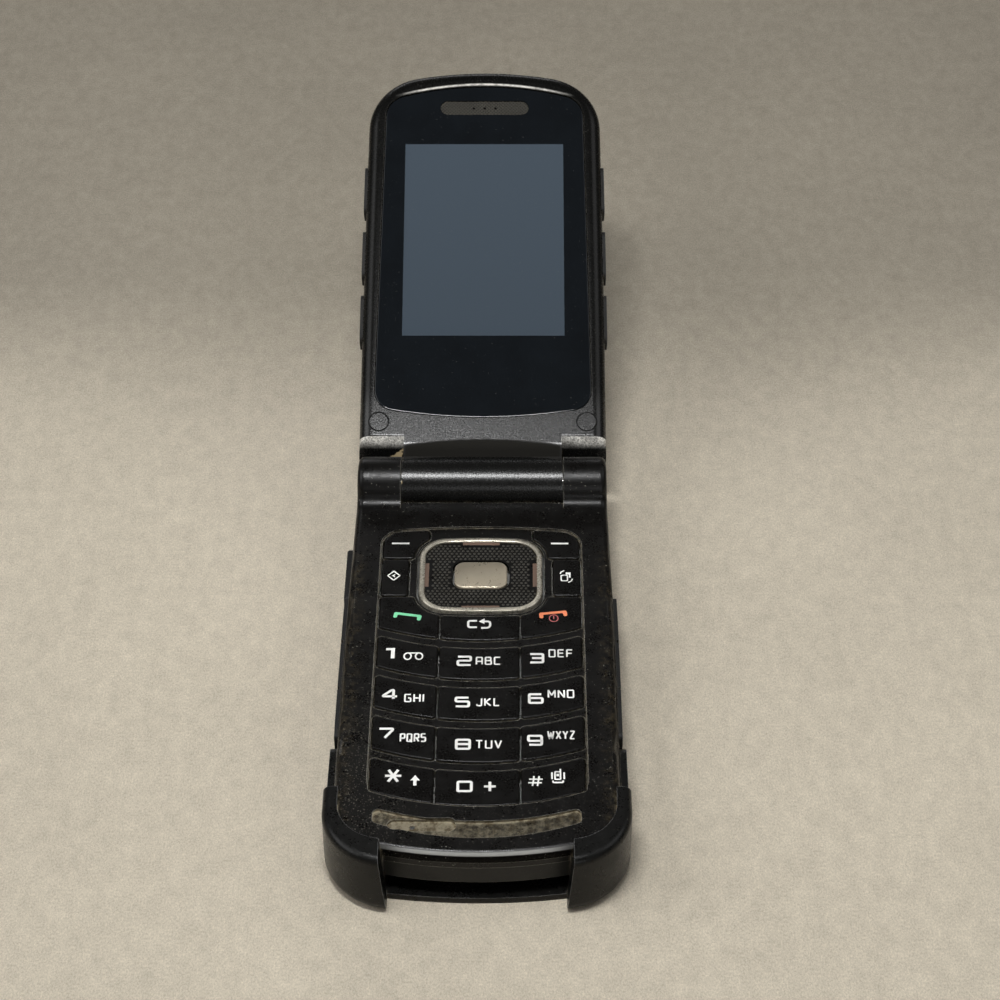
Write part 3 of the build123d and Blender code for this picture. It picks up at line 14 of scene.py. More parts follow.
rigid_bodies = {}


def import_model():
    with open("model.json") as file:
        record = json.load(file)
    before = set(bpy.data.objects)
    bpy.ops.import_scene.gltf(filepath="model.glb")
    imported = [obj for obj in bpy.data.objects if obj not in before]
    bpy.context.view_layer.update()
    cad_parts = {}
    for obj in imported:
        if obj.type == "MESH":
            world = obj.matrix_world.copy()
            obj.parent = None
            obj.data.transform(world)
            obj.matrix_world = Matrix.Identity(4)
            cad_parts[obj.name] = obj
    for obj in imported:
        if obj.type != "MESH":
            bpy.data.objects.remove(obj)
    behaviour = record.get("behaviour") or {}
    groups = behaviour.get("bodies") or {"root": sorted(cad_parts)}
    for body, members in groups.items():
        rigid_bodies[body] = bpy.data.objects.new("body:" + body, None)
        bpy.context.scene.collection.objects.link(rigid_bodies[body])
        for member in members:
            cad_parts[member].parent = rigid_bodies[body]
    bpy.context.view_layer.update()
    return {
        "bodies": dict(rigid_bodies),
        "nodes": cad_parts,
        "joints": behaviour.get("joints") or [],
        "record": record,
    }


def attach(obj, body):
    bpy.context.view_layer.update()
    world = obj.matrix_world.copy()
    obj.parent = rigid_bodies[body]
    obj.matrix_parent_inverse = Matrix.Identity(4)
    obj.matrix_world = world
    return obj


LOG = logging.getLogger("phone")
MM = 0.001
HINGE_Y = 45.0      # hinge axis ahead of the phone's origin, in millimetres
NEAR = 1e-6         # two points of a line closer than this are one
ROW_SHARE = 0.866   # row distance of a hexagonal field, as a share of its pitch
SPARE_ROWS = 3      # rows and columns that such a field has beyond its zone
Point = tuple[float, float]
Triple = tuple[float, float, float]
Rgb = tuple[int, int, int]  # 8-bit sRGB; it becomes linear where it meets a node
Colour = tuple[float, float, float, float]
Ramp = tuple[float, ...]    # start and end of a ramp, then the values there if they aren't 0 and 1
Look = tuple[Any, Any]      # colour and roughness
SPECULAR = "Specular IOR Level"


def paint(shade: Rgb) -> Colour:
    """Linear colour, with an alpha of 1, of an 8-bit sRGB one."""
    linear = [c / 12.92 if c <= 0.04045 else ((c + 0.055) / 1.055) ** 2.4 for c in (part / 255 for part in shade)]
    return (*linear, 1.0)


def turned(degrees: float, axis: str) -> Matrix:
    """Turn about an axis."""
    return Matrix.Rotation(math.radians(degrees), 4, axis)


@dataclass(frozen=True)
class Stance:
    """Where a sub-assembly's own frame lies: hinge axis place and turn about X."""

    y: float
    z: float
    turn: float

    def matrix(self) -> Matrix:
        """Matrix from the sub-assembly's frame to the phone's."""
        return Matrix.Translation((0, self.y, self.z)) @ turned(self.turn, "X")


BASE = Stance(0.0, 0.0, 0.0)
LID = Stance(HINGE_Y * MM, 12.7 * MM, 27.9)


def math_operator(kind: str) -> Callable[..., Value]:
    """Operator that adds a Math node of the given kind."""
    return lambda first, *second: first.graph.math(kind, first, *second)


class Value:
    """Output of a node; its operators add Math nodes."""

    __add__ = math_operator("ADD")
    __sub__ = math_operator("SUBTRACT")
    __mul__ = math_operator("MULTIPLY")
    __truediv__ = math_operator("DIVIDE")
    __lt__ = math_operator("LESS_THAN")
    __gt__ = math_operator("GREATER_THAN")
    __abs__ = math_operator("ABSOLUTE")

    def __init__(self, graph: Graph, socket: bpy.types.NodeSocket) -> None:
        """Keeps the graph and the output socket."""
        self.graph = graph
        self.socket = socket


class Graph:
    """Short calls for building one node tree."""

    def __init__(self, tree: bpy.types.NodeTree) -> None:
        """Takes the tree that the calls fill; its coordinates come later, from place."""
        self.tree = tree
        self.coords: Any = None

    def feed(self, socket: bpy.types.NodeSocket, value: Any) -> None:
        """Links an input to a value, or sets its plain value."""
        if isinstance(value, Value):
            self.tree.links.new(value.socket, socket)
        else:
            socket.default_value = value

    def node(self, kind: str, output: int | str = 0, inputs: dict[Any, Any] | None = None,
             **settings: Any) -> Value:
        """Adds a node.

        Args:
            kind: the node's type name.
            output: name or number of the output that is wanted.
            inputs: values by the name or number of their input.
            settings: properties to set on the node.

        Returns:
            The wanted output.
        """
        made = self.tree.nodes.new(kind)
        for key, value in settings.items():
            setattr(made, key, value)
        for key, value in (inputs or {}).items():
            self.feed(made.inputs[key], value)
        return Value(self, made.outputs[output])

    def outputs(self, value: Value) -> dict[str, Value]:
        """All outputs, by name, of the node that a value comes from."""
        return {output.name: Value(self, output) for output in value.socket.node.outputs}

    def math(self, kind: str, *values: Any, clamp: bool = False) -> Value:
        """Result of a Math node on the given values."""
        return self.node("ShaderNodeMath", 0, dict(enumerate(values)), operation=kind, use_clamp=clamp)

    def top(self, first: Any, *rest: Any) -> Any:
        """Largest of the given values."""
        return self.math("MAXIMUM", first, self.top(*rest)) if rest else first

    def length(self, across: Value, along: Value) -> Value:
        """Length of the vector with two given parts."""
        return self.math("SQRT", across * across + along * along)

    def bow(self, x: Value, half: float, depth: float) -> Value:
        """Parabola over x that is 0 in the middle and reaches a depth at a half width."""
        share = x / half
        return share * share * depth

    def span(self, value: Any, low: float, high: float, to_low: float = 0.0,
             to_high: float = 1.0, smooth: bool = True) -> Value:
        """Value mapped from one range to another, clamped at the ends."""
        inputs = {"Value": value, "From Min": low, "From Max": high, "To Min": to_low, "To Max": to_high}
        return self.node("ShaderNodeMapRange", "Result", inputs,
                         interpolation_type="SMOOTHSTEP" if smooth else "LINEAR")

    def within(self, value: Any, low: float, high: float, soft: float) -> Value:
        """Mask that is 1 between two limits, with soft edges."""
        return self.span(value, low - soft, low + soft) * self.span(value, high - soft, high + soft, 1.0, 0.0)

    def scaled(self, colour: Rgb | Value, factor: Any) -> Value:
        """Colour times a number."""
        colour = colour if isinstance(colour, Value) else paint(colour)[:3]
        return self.node("ShaderNodeVectorMath", 0, {0: colour, "Scale": factor}, operation="SCALE")

    def blend(self, factor: Any, *colours: Rgb | Value) -> Value:
        """Colour mixed from two others."""
        first, second = [shade if isinstance(shade, Value) else paint(shade) for shade in colours]
        return self.node("ShaderNodeMix", 2, {0: factor, 6: first, 7: second}, data_type="RGBA")

    def coat(self, colour: Any, *layers: tuple[Any, Any]) -> Any:
        """Colour under some layers, each a mask and its colour."""
        for mask, shade in layers:
            colour = self.blend(mask, colour, shade)
        return colour

    def noise(self, size_mm: float, detail: float, roughness: float, vector: Any = None) -> Value:
        """Noise whose features are about the given size."""
        inputs = {"Vector": vector or self.coords, "Scale": 1.0 / (size_mm * MM), "Detail": detail,
                  "Roughness": roughness}
        return self.node("ShaderNodeTexNoise", "Fac", inputs)

    def hollow(self, reach_mm: float, open_share: float, deep_share: float) -> Value:
        """Mask of corners and grooves narrower than the given reach."""
        seen = self.node("ShaderNodeAmbientOcclusion", "AO", {"Distance": reach_mm * MM}, samples=6)
        return self.span(seen, open_share, deep_share)

    def bump(self, strength: float, depth: float, height: Any) -> Value:
        """Normal of a relief."""
        return self.node("ShaderNodeBump", 0, {"Strength": strength, "Distance": depth, "Height": height})

    def place(self, stance: Stance) -> None:
        """Takes object coordinates, seen from a sub-assembly's own frame."""
        self.coords = self.node("ShaderNodeTexCoord", "Object")
        if stance != BASE:
            inputs = {"Location": (0.0, stance.y, stance.z), "Rotation": (math.radians(stance.turn), 0.0, 0.0),
                      "Vector": self.coords}
            self.coords = self.node("ShaderNodeMapping", 0, inputs, vector_type="TEXTURE")

    def parts(self, vector: Any = None) -> list[Value]:
        """X, Y and Z of a vector, or else of the coordinates."""
        return list(self.outputs(self.node("ShaderNodeSeparateXYZ", 0, {0: vector or self.coords})).values())

    def edge_distance(self, x: Any, y: Any, half_x: Any, half_y: Any, corner: float) -> Value:
        """Signed distance of a point from a rounded rectangle, negative inside."""
        sides = [abs(value) - self.math("SUBTRACT", half, corner) for value, half in ((x, half_x), (y, half_y))]
        far = self.length(*[self.math("MAXIMUM", side, 0.0) for side in sides])
        near = self.math("MINIMUM", self.math("MAXIMUM", *sides), 0.0)
        return far + near - corner


@dataclass(frozen=True)
class Patches:
    """Cloudy mask: noise of a size, detail and roughness, and the ramp that cuts it."""

    size_mm: float
    detail: float
    roughness: float
    low: float
    high: float
    to_low: float = 0.0
    to_high: float = 1.0
    smooth: bool = True

    def mask(self, graph: Graph, vector: Any = None) -> Value:
        """The mask at a vector, or else at the graph's coordinates."""
        noise = graph.noise(self.size_mm, self.detail, self.roughness, vector)
        return graph.span(noise, self.low, self.high, self.to_low, self.to_high, self.smooth)


def blank_material(name: str, stance: Stance = BASE) -> tuple[bpy.types.Material, Graph, Any]:
    """New node material, with its graph, which has coordinates, and the inputs of its shader."""
    made = bpy.data.materials.new(name)
    made.use_nodes = True
    graph = Graph(made.node_tree)
    graph.place(stance)
    return made, graph, made.node_tree.nodes["Principled BSDF"].inputs


def show(name: str, data: Any) -> bpy.types.Object:
    """New object of the given data, linked to the scene."""
    made = bpy.data.objects.new(name, data)
    bpy.context.scene.collection.objects.link(made)
    return made


TONE = Patches(9.0, 3.0, 0.6, 0.3, 0.7, 0.82, 1.18, smooth=False)
WORN = Patches(2.2, 4.0, 0.7, 0.22, 0.55)
SETTLED = Patches(0.9, 5.0, 0.75, 0.36, 0.66)
SPECKS = Patches(0.4, 2.0, 0.6, 0.66, 0.74)
SPECK_CLOUDS = Patches(6.0, 2.0, 0.5, 0.35, 0.7)
SPECK_COLOUR = (140, 138, 128)
EDGE: Ramp = (0.985, 0.80)      # how far a rounded normal agrees with the flat one, from plain to edge
DUST_CORNERS: Ramp = (0.86, 0.45)   # share of open sky, from free to dusty
BUMP_DEPTH = 0.06 * MM
DUST_ROUGHNESS = 0.9


@dataclass(frozen=True)
class Finish:
    """A plain finish with grain, smudges, worn edges and dust; the others build on it."""

    name: str
    colour: Rgb
    roughness: float = 0.5
    metallic: float = 0.0
    specular: float = 0.5
    grain_mm: float = 0.25
    grain: float = 0.10
    smudge: float = 0.08
    wear: float = 0.0
    wear_colour: Rgb = (120, 118, 112)
    wear_mm: float = 0.22
    dust: float = 0.0
    dust_colour: Rgb = (128, 118, 98)
    dust_mm: float = 0.7
    specks: float = 0.0
    speckle: float = 0.06
    stance: Stance = BASE

    def material(self) -> bpy.types.Material:
        """Builds the finish as a node material."""
        made, graph, shader = blank_material(self.name, self.stance)
        colour, roughness = self.surface(graph)
        if self.wear:
            colour = graph.blend(self.edges(graph), colour, self.wear_colour)
        if self.dust:
            settled = graph.hollow(self.dust_mm, *DUST_CORNERS) * SETTLED.mask(graph)
            settled = graph.math("MULTIPLY", settled, self.dust, clamp=True)
            colour = graph.blend(settled, colour, self.dust_colour)
            roughness = graph.top(roughness, settled * DUST_ROUGHNESS)
        if self.specks:
            specks = SPECKS.mask(graph) * SPECK_CLOUDS.mask(graph) * self.specks
            colour = graph.blend(specks, colour, SPECK_COLOUR)
        colour, roughness = self.extras(graph, colour, roughness)
        for name, value in (("Metallic", self.metallic), (SPECULAR, self.specular),
                            (SPECULAR, self.reflection(graph)), ("Base Color", colour),
                            ("Roughness", roughness), ("Normal", self.relief(graph))):
            graph.feed(shader[name], value)
        made.diffuse_color = paint(self.colour)
        return made

    def surface(self, graph: Graph) -> Look:
        """Base colour and roughness with slow variation."""
        low, high = self.roughness - self.smudge, self.roughness + self.smudge
        rub = Patches(4.0, 5.0, 0.65, 0.32, 0.68, low, high, smooth=False)
        fine = Patches(0.4, 2.0, 0.6, 0.3, 0.7, -self.speckle, self.speckle, smooth=False)
        roughness = rub.mask(graph) + fine.mask(graph)
        return graph.scaled(self.colour, TONE.mask(graph)), roughness

    def edges(self, graph: Graph) -> Any:
        """Mask of the worn edges; on the guard and the centre key their light colour is partly a painted highlight.
        """
        rounded = graph.node("ShaderNodeBevel", 0, {"Radius": self.wear_mm * MM}, samples=4)
        flat = graph.node("ShaderNodeNewGeometry", "Normal")
        same = graph.node("ShaderNodeVectorMath", "Value", {0: rounded, 1: flat}, operation="DOT_PRODUCT")
        edge = graph.span(same, *EDGE) * WORN.mask(graph)
        return graph.math("MULTIPLY", edge, self.wear, clamp=True)

    def relief(self, graph: Graph) -> Any:
        """Normal with the finish's fine grain."""
        return graph.bump(self.grain, BUMP_DEPTH, self.height(graph))

    def height(self, graph: Graph) -> Any:
        """Height of the grain."""
        return graph.noise(self.grain_mm, 3.0, 0.6)

    def extras(self, graph: Graph, colour: Any, roughness: Any) -> Look:
        """Marks of one finish only."""
        return colour, roughness

    def reflection(self, graph: Graph) -> Any:
        """Strength of the reflections: a plain number, or a value that takes its place."""
        return self.specular


@dataclass(frozen=True)
class KeyPlateFinish(Finish):
    """Front housing: satin black with dirt in the chin's crescent, dusty sides, a painted highlight on its lip and a
    dull band under that lip.
    """

    scoop: Triple = (-49.0 * MM, -40.6 * MM, 0.1 * MM)
    scoop_level: float = 12.42 * MM
    scoop_corners: Triple = (1.2, 0.86, 0.55)
    pocket: Ramp = (11.8 * MM, 11.5 * MM)
    pocket_share: float = 0.6
    film: Patches = Patches(1.1, 6.0, 0.75, 0.34, 0.68, 0.06, 0.5)
    film_fade: Ramp = (16.0 * MM, -12.0 * MM, 0.7, 1.0)
    clods: Patches = Patches(1.6, 5.0, 0.7, 0.42, 0.62)
    pale_earth: Rgb = (158, 149, 126)
    dark_earth: Rgb = (96, 84, 62)
    band: Triple = (9.7 * MM, 11.7 * MM, 0.15 * MM)
    band_rear: float = -48.5 * MM
    band_specular: float = 0.03
    # lip_*: a painted highlight along the rounded front edge of the plate at the chin
    lip: Triple = (11.8 * MM, 12.3 * MM, 0.08 * MM)
    lip_fade: Ramp = (17.5 * MM, 10.0 * MM, 0.1, 0.55)
    lip_highlight_colour: Rgb = (196, 196, 192)
    side: Ramp = (21.0 * MM, 24.5 * MM)
    side_rear: Ramp = (30.0 * MM, 18.0 * MM)
    side_dust: Patches = Patches(1.2, 6.0, 0.75, 0.45, 0.7, 0.0, 0.22)
    side_colour: Rgb = (112, 100, 76)
    grit: Patches = Patches(0.3, 2.0, 0.6, 0.6, 0.7)
    grit_left: Ramp = (-8.0 * MM, -22.0 * MM, 0.04, 0.32)
    grit_front: Ramp = (0.0, -42.0 * MM)
    grit_colour: Rgb = (178, 172, 156)

    def extras(self, graph: Graph, colour: Any, roughness: Any) -> Look:
        """Adds the crescent's dirt, the sides' dust, the grit of the left half and a painted highlight along the lip.
        """
        x, y, z = graph.parts()
        aside = abs(x)
        film = self.film.mask(graph) * graph.span(x, *self.film_fade)
        thick = graph.top(film, graph.hollow(*self.scoop_corners), graph.span(z, *self.pocket) * self.pocket_share)
        zone = (z < self.scoop_level) * graph.within(y, *self.scoop)
        dirt = graph.math("MULTIPLY", zone, thick, clamp=True)
        earth = graph.blend(self.clods.mask(graph), self.pale_earth, self.dark_earth)
        side = graph.span(aside, *self.side) * self.side_dust.mask(graph) * graph.span(y, *self.side_rear)
        grit = self.grit.mask(graph) * graph.span(x, *self.grit_left) * graph.span(y, *self.grit_front)
        lip = graph.within(z, *self.lip) * (y < self.band_rear) * graph.span(aside, *self.lip_fade)
        colour = graph.coat(colour, (dirt, earth), (side, self.side_colour), (grit, self.grit_colour),
                            (lip, self.lip_highlight_colour))
        return colour, graph.top(roughness, dirt, side)

    def reflection(self, graph: Graph) -> Value:
        """Weak in the band under the lip."""
        _, y, z = graph.parts()
        band = graph.within(z, *self.band) * (y < self.band_rear)
        return graph.span(band, 0.0, 1.0, self.specular, self.band_specular)


@dataclass(frozen=True)
class LensFinish(Finish):
    """Glossy lens with a black border printed behind it and the grey screen in its window."""

    half_width: float = 16.7 * MM
    low: float = 32.7 * MM
    high: float = 77.3 * MM
    soft: float = 0.06 * MM
    screen: Rgb = (67, 77, 87)
    fade: Point = (0.92, 1.05)
    motes: Patches = Patches(0.5, 2.0, 0.5, 0.70, 0.77)
    mote_share: float = 0.12
    mote_colour: Rgb = (120, 120, 116)

    def extras(self, graph: Graph, colour: Any, roughness: Any) -> Look:
        """Adds the screen's window and a few motes."""
        x, y, _ = graph.parts()
        across = graph.within(x, -self.half_width, self.half_width, self.soft)
        window = across * graph.within(y, self.low, self.high, self.soft)
        fade = graph.span(y, self.low, self.high, *self.fade, smooth=False)
        colour = graph.blend(window, colour, graph.scaled(self.screen, fade))
        return graph.blend(self.motes.mask(graph) * self.mote_share, colour, self.mote_colour), roughness


@dataclass(frozen=True)
class RimFinish(Finish):
    """Plated rim with a half-round section, worn through to dark plastic in patches."""

    centre_y: float = 18.45 * MM
    half_x: float = 11.9 * MM
    half_y: float = 10.45 * MM
    bow: float = 0.7 * MM
    corner: float = 5.4 * MM
    width: float = 1.1 * MM
    crest: float = 0.26 * MM
    bare: Patches = Patches(1.8, 6.0, 0.8, 0.48, 0.62)
    bare_across: Ramp = (0.75, 0.1, 0.15, 0.75)
    bare_colour: Rgb = (44, 40, 32)
    bare_roughness: float = 0.25

    def across(self, graph: Graph) -> Any:
        """Place across the rim: 0 at its outer edge, 1 at its inner edge."""
        x, y, _ = graph.parts()
        half_y = graph.math("SUBTRACT", self.half_y, graph.bow(x, self.half_x, self.bow))
        return graph.edge_distance(x, y - self.centre_y, self.half_x, half_y, self.corner) / -self.width

    def extras(self, graph: Graph, colour: Any, roughness: Any) -> Look:
        """Adds the worn-through patches, mostly along the outer edge."""
        bare = self.bare.mask(graph) * graph.span(self.across(graph), *self.bare_across)
        return graph.blend(bare, colour, self.bare_colour), roughness + bare * self.bare_roughness

    def relief(self, graph: Graph) -> Any:
        """Normal of the half-round section."""
        away = self.across(graph) * 2.0 - 1.0
        return graph.bump(1.0, self.crest, graph.math("SUBTRACT", 1.0, away * away))


@dataclass(frozen=True)
class LidFrameFinish(Finish):
    """Front frame of the lid: fine grain, painted highlights on its shoulders and crown, a dusty neck painted dark
    for its shade, painted shade round its plugs and one chipped shoulder.
    """

    rag: float = 3.0 * MM
    chip_x: float = -17.9 * MM
    chip_slope: float = 0.5
    chip_across: Triple = (-19.5 * MM, -16.2 * MM, 0.1 * MM)
    chip_up: Ramp = (7.55 * MM, 7.3 * MM)
    chip_depth: Ramp = (-5.0 * MM, -4.2 * MM)
    chip_colour: Rgb = (168, 150, 116)
    # neck_*: painted shade of the concave neck above the barrel, a dark rough coat that also holds some dust
    neck: Triple = (4.9 * MM, 9.7 * MM, 0.45 * MM)
    neck_arch: float = 1.3 * MM
    neck_rag: float = 0.12
    neck_half: float = 15.9 * MM
    neck_depth: Ramp = (-5.4 * MM, -4.0 * MM)
    neck_shade_colour: Rgb = (19, 17, 12)
    # brow_* and crown_*: painted highlights, on the shoulders' top edges and along the rim's inner edge above the
    # lens
    brow: Ramp = (8.1 * MM, 9.9 * MM)
    brow_end: Ramp = (10.4 * MM, 10.2 * MM)
    brow_depth: Ramp = (-4.6 * MM, -1.9 * MM)
    brow_grain: Patches = Patches(0.35, 3.0, 0.6, 0.35, 0.65, 0.35, 1.0)
    brow_clouds: Patches = Patches(3.0, 2.0, 0.5, 0.3, 0.6, 0.5, 1.0)
    highlight_colour: Rgb = (244, 241, 233)
    # plug_*: painted shade, a dark ring in the gap round each plug
    plug_x: float = 21.1 * MM
    plug_y: float = 13.5 * MM
    plug_ring: Triple = (1.92 * MM, 2.16 * MM, 0.06 * MM)
    plug_share: float = 0.9
    plug_shade_colour: Rgb = (2, 2, 2)
    crown: Triple = (91.55 * MM, 91.95 * MM, 0.2 * MM)
    crown_sag: float = 3.4 * MM
    crown_half: float = 20.9 * MM
    crown_fade: Ramp = (19.5 * MM, 12.0 * MM)
    crown_clouds: Patches = Patches(2.0, 4.0, 0.6, 0.3, 0.6, 0.3, 0.9)
    dull_from: Point = (15.0 * MM, 22.0 * MM)
    dull_specular: float = 0.2

    def ragged(self, graph: Graph) -> Value:
        """Uneven shift of an edge, up to about a millimetre."""
        return (graph.noise(1.4, 4.0, 0.7) - 0.5) * self.rag

    def painted_highlights(self, graph: Graph) -> Value:
        """Mask of the painted highlights on the shoulders beside the neck and along the crown."""
        x, y, z = graph.parts()
        aside = abs(x)
        brow = graph.span(y, *self.brow) * graph.span(y, *self.brow_end) * (aside > self.neck_half)
        brow = brow * graph.span(z, *self.brow_depth) * self.brow_grain.mask(graph)
        crown = graph.within(y + graph.bow(x, self.crown_half, self.crown_sag), *self.crown)
        crown = crown * graph.span(aside, *self.crown_fade) * self.crown_clouds.mask(graph)
        return graph.top(brow * self.brow_clouds.mask(graph), crown)

    def dusty(self, graph: Graph) -> Value:
        """Mask of the neck below its arch: painted shade of the concave neck, with some dust."""
        x, y, z = graph.parts()
        arch = graph.bow(x, self.neck_half, self.neck_arch) + self.ragged(graph) * self.neck_rag
        across = graph.within(x, -self.neck_half, self.neck_half, 0.5 * MM)
        return graph.within(y + arch, *self.neck) * across * graph.span(z, *self.neck_depth)

    def chip(self, graph: Graph) -> Value:
        """Mask of the chipped corner of the left shoulder."""
        x, y, z = graph.parts()
        ragged = self.ragged(graph)
        slant = y - (x - self.chip_x) * self.chip_slope + ragged * 0.5
        across = graph.within(x + ragged, *self.chip_across)
        return across * graph.span(slant, *self.chip_up) * graph.span(z, *self.chip_depth)

    def extras(self, graph: Graph, colour: Any, roughness: Any) -> Look:
        """Adds the painted highlights on the shoulders and crown, the painted shade round the plugs, the neck's dust
        and painted shade, and the chip.
        """
        x, y, _ = graph.parts()
        ring = graph.within(graph.length(abs(x) - self.plug_x, y - self.plug_y), *self.plug_ring)
        dusty, chip = self.dusty(graph), self.chip(graph)
        colour = graph.coat(
            colour, (self.painted_highlights(graph), self.highlight_colour), (ring * self.plug_share, self.plug_shade_colour),
            (dusty, self.neck_shade_colour), (chip, self.chip_colour))
        return colour, graph.top(graph.top(roughness, ring), chip, dusty)

    def reflection(self, graph: Graph) -> Value:
        """Weaker beside and above the lens."""
        return graph.span(graph.parts()[1], *self.dull_from, self.specular, self.dull_specular)


@dataclass(frozen=True)
class OkFinish(Finish):
    """Silver paint, with painted shade towards the rear of the key and a painted highlight towards its front."""

    slant: float = 0.3
    # shade: painted light across the key, from 0.62 at its rear to 1.12 at its front
    shade: Ramp = (22.0 * MM, 15.0 * MM, 0.62, 1.12)

    def extras(self, graph: Graph, colour: Any, roughness: Any) -> Look:
        """Adds the painted shade of the rear part and the painted highlight of the front."""
        x, y, _ = graph.parts()
        return graph.scaled(colour, graph.span(y - x * self.slant, *self.shade)), roughness


@dataclass(frozen=True)
class MeshFinish(Finish):
    """Fine woven mesh over the earpiece."""

    pitch: float = 0.75 * MM
    shade: Ramp = (-0.4, 0.9, 0.3, 1.5)

    def height(self, graph: Graph) -> Any:
        """Height of the crossing wires."""
        x, y, _ = graph.parts()
        return graph.top(*[graph.math("SINE", slant * (2 * math.pi / self.pitch)) for slant in (x + y, x - y)])

    def extras(self, graph: Graph, colour: Any, roughness: Any) -> Look:
        """Darkens the gaps between the wires."""
        return graph.scaled(colour, graph.span(self.height(graph), *self.shade)), roughness


class Palette:
    """All finishes of the phone, each built once, when first asked for."""

    def __init__(self) -> None:
        """Lists the finishes by name."""
        black, deep = (12, 12, 11), (8, 7, 6)
        rubber = Finish("rubber_matte", (14, 14, 14), 0.62, specular=0.35, grain=0.35, grain_mm=0.3, dust=0.3,
                        wear=0.2)
        legends = {"white": (236, 236, 232), "green": (122, 208, 160), "red": (238, 138, 96), "rose": (190, 104, 104)}
        self.finishes: dict[str, Finish] = {item.name: item for item in (
            KeyPlateFinish("key_plate_satin", deep, 0.33, specular=0.27, wear=0.8, dust=0.9, grain=0.15,
                           wear_colour=(150, 147, 138), specks=0.9, dust_colour=(118, 110, 92)),
            Finish("base_tub_satin", black, 0.44, specular=0.35, wear=0.35, dust=0.3, grain=0.2, specks=0.3),
            # the guard's light worn edges are also a painted highlight on its inner top corners
            Finish("guard_moulding", (14, 14, 13), 0.32, specular=0.22, wear=0.75, dust=0.6, grain=0.3,
                   wear_colour=(124, 124, 124), specks=0.4),
            LidFrameFinish("lid_frame_satin", (10, 10, 9), 0.27, specular=0.46, wear=0.3, dust=0.25,
                           grain=0.32, grain_mm=0.3, specks=0.15, smudge=0.012, speckle=0.02, stance=LID),
            Finish("lid_shell_satin", black, 0.38, specular=0.36, wear=0.35, dust=0.2, grain=0.2, stance=LID),
            LensFinish("lens_gloss", (14, 18, 22), 0.06, grain=0.0, smudge=0.01, speckle=0.0, stance=LID),
            Finish("key_cap_gloss", deep, 0.32, specular=0.22, wear=0.55, dust=0.85, grain=0.08, dust_mm=0.4,
                   specks=0.4, dust_colour=(118, 110, 92)),
            RimFinish("rim_plated", (184, 178, 163), 0.3, metallic=0.45, smudge=0.06),
            Finish("ring_gloss", deep, 0.36, specular=0.25, dust=0.6, dust_mm=0.4, grain=0.05),
            # the dots are dark; their light grey is a painted highlight on their tops
            Finish("ring_dots", (64, 62, 57), 0.3, grain=0.05),
            Finish("insert_pale", (104, 84, 72), 0.45, dust=0.3, dust_mm=0.4),
            # the centre key's pale wear colour paints a highlight along its edges
            OkFinish("ok_silver", (172, 162, 143), 0.32, metallic=0.4, wear=0.9,
                     wear_colour=(236, 230, 214)),
            rubber,
            replace(rubber, name="lid_rubber", dust=0.25, stance=LID),
            MeshFinish("ear_mesh", (46, 44, 38), 0.5, specular=0.3, grain=0.8, dust=0.3, stance=LID),
            # near-black discs: painted shade for the holes behind the earpiece's mesh
            Finish("mesh_holes", (3, 3, 3), 0.8, specular=0.05, grain=0.05, stance=LID),
            Finish("window_gloss", (8, 9, 11), 0.05, grain=0.0, smudge=0.03, speckle=0.0, stance=LID),
            Finish("steel_plain", (170, 170, 168), 0.3, metallic=1.0),
            Finish("contact_gold", (206, 170, 98), 0.28, metallic=1.0, grain=0.05),
            Finish("board_green", (22, 84, 50), 0.35),
            Finish("mat_grey", (150, 150, 148), 0.6, grain=0.2),
            Finish("battery_wrap", (62, 62, 66), 0.4),
            Finish("carrier_white", (214, 210, 198), 0.5),
            Finish("flex_amber", (172, 104, 38), 0.3, grain=0.05),
            Finish("screen_panel", (74, 82, 92), 0.2, grain=0.02, stance=LID),
            Finish("camera_ring", (60, 60, 62), 0.25, metallic=0.8, grain=0.05, stance=LID),
            *(Finish(f"legend_{name}", shade, 0.5, grain=0.05) for name, shade in legends.items()),
        )}
        self.built: dict[str, bpy.types.Material] = {}

    def get(self, name: str) -> bpy.types.Material:
        """The material of a finish, built when it is first used."""
        if name not in self.built:
            self.built[name] = self.finishes[name].material()
        return self.built[name]


class Dresser:
    """Gives nodes and pieces their finishes and their bodies."""

    def __init__(self, frame: dict[str, Any], palette: Palette) -> None:
        """Keeps the loaded frame and the palette."""
        self.frame = frame
        self.palette = palette

    def nodes(self, table: dict[str, str]) -> None:
        """Dresses carried-over nodes; the table holds their names, blanks between them, by finish."""
        for finish, names in table.items():
            for name in names.split():
                mesh = self.frame["nodes"][name].data
                mesh.materials.clear()
                mesh.materials.append(self.palette.get(finish))

    def piece(self, name: str, mesh: bpy.types.Mesh, body: str, slot: str) -> None:
        """Adds a finished piece to the scene.

        Args:
            name: the piece's name.
            mesh: its mesh, in the phone's frame, with its materials.
            body: the body it rides on.
            slot: the record's material slot; not used.
        """
        mesh.name = name
        made = show(name, mesh)
        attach(made, body)
        LOG.info("piece %s on %s: %d faces", name, body, len(mesh.polygons))


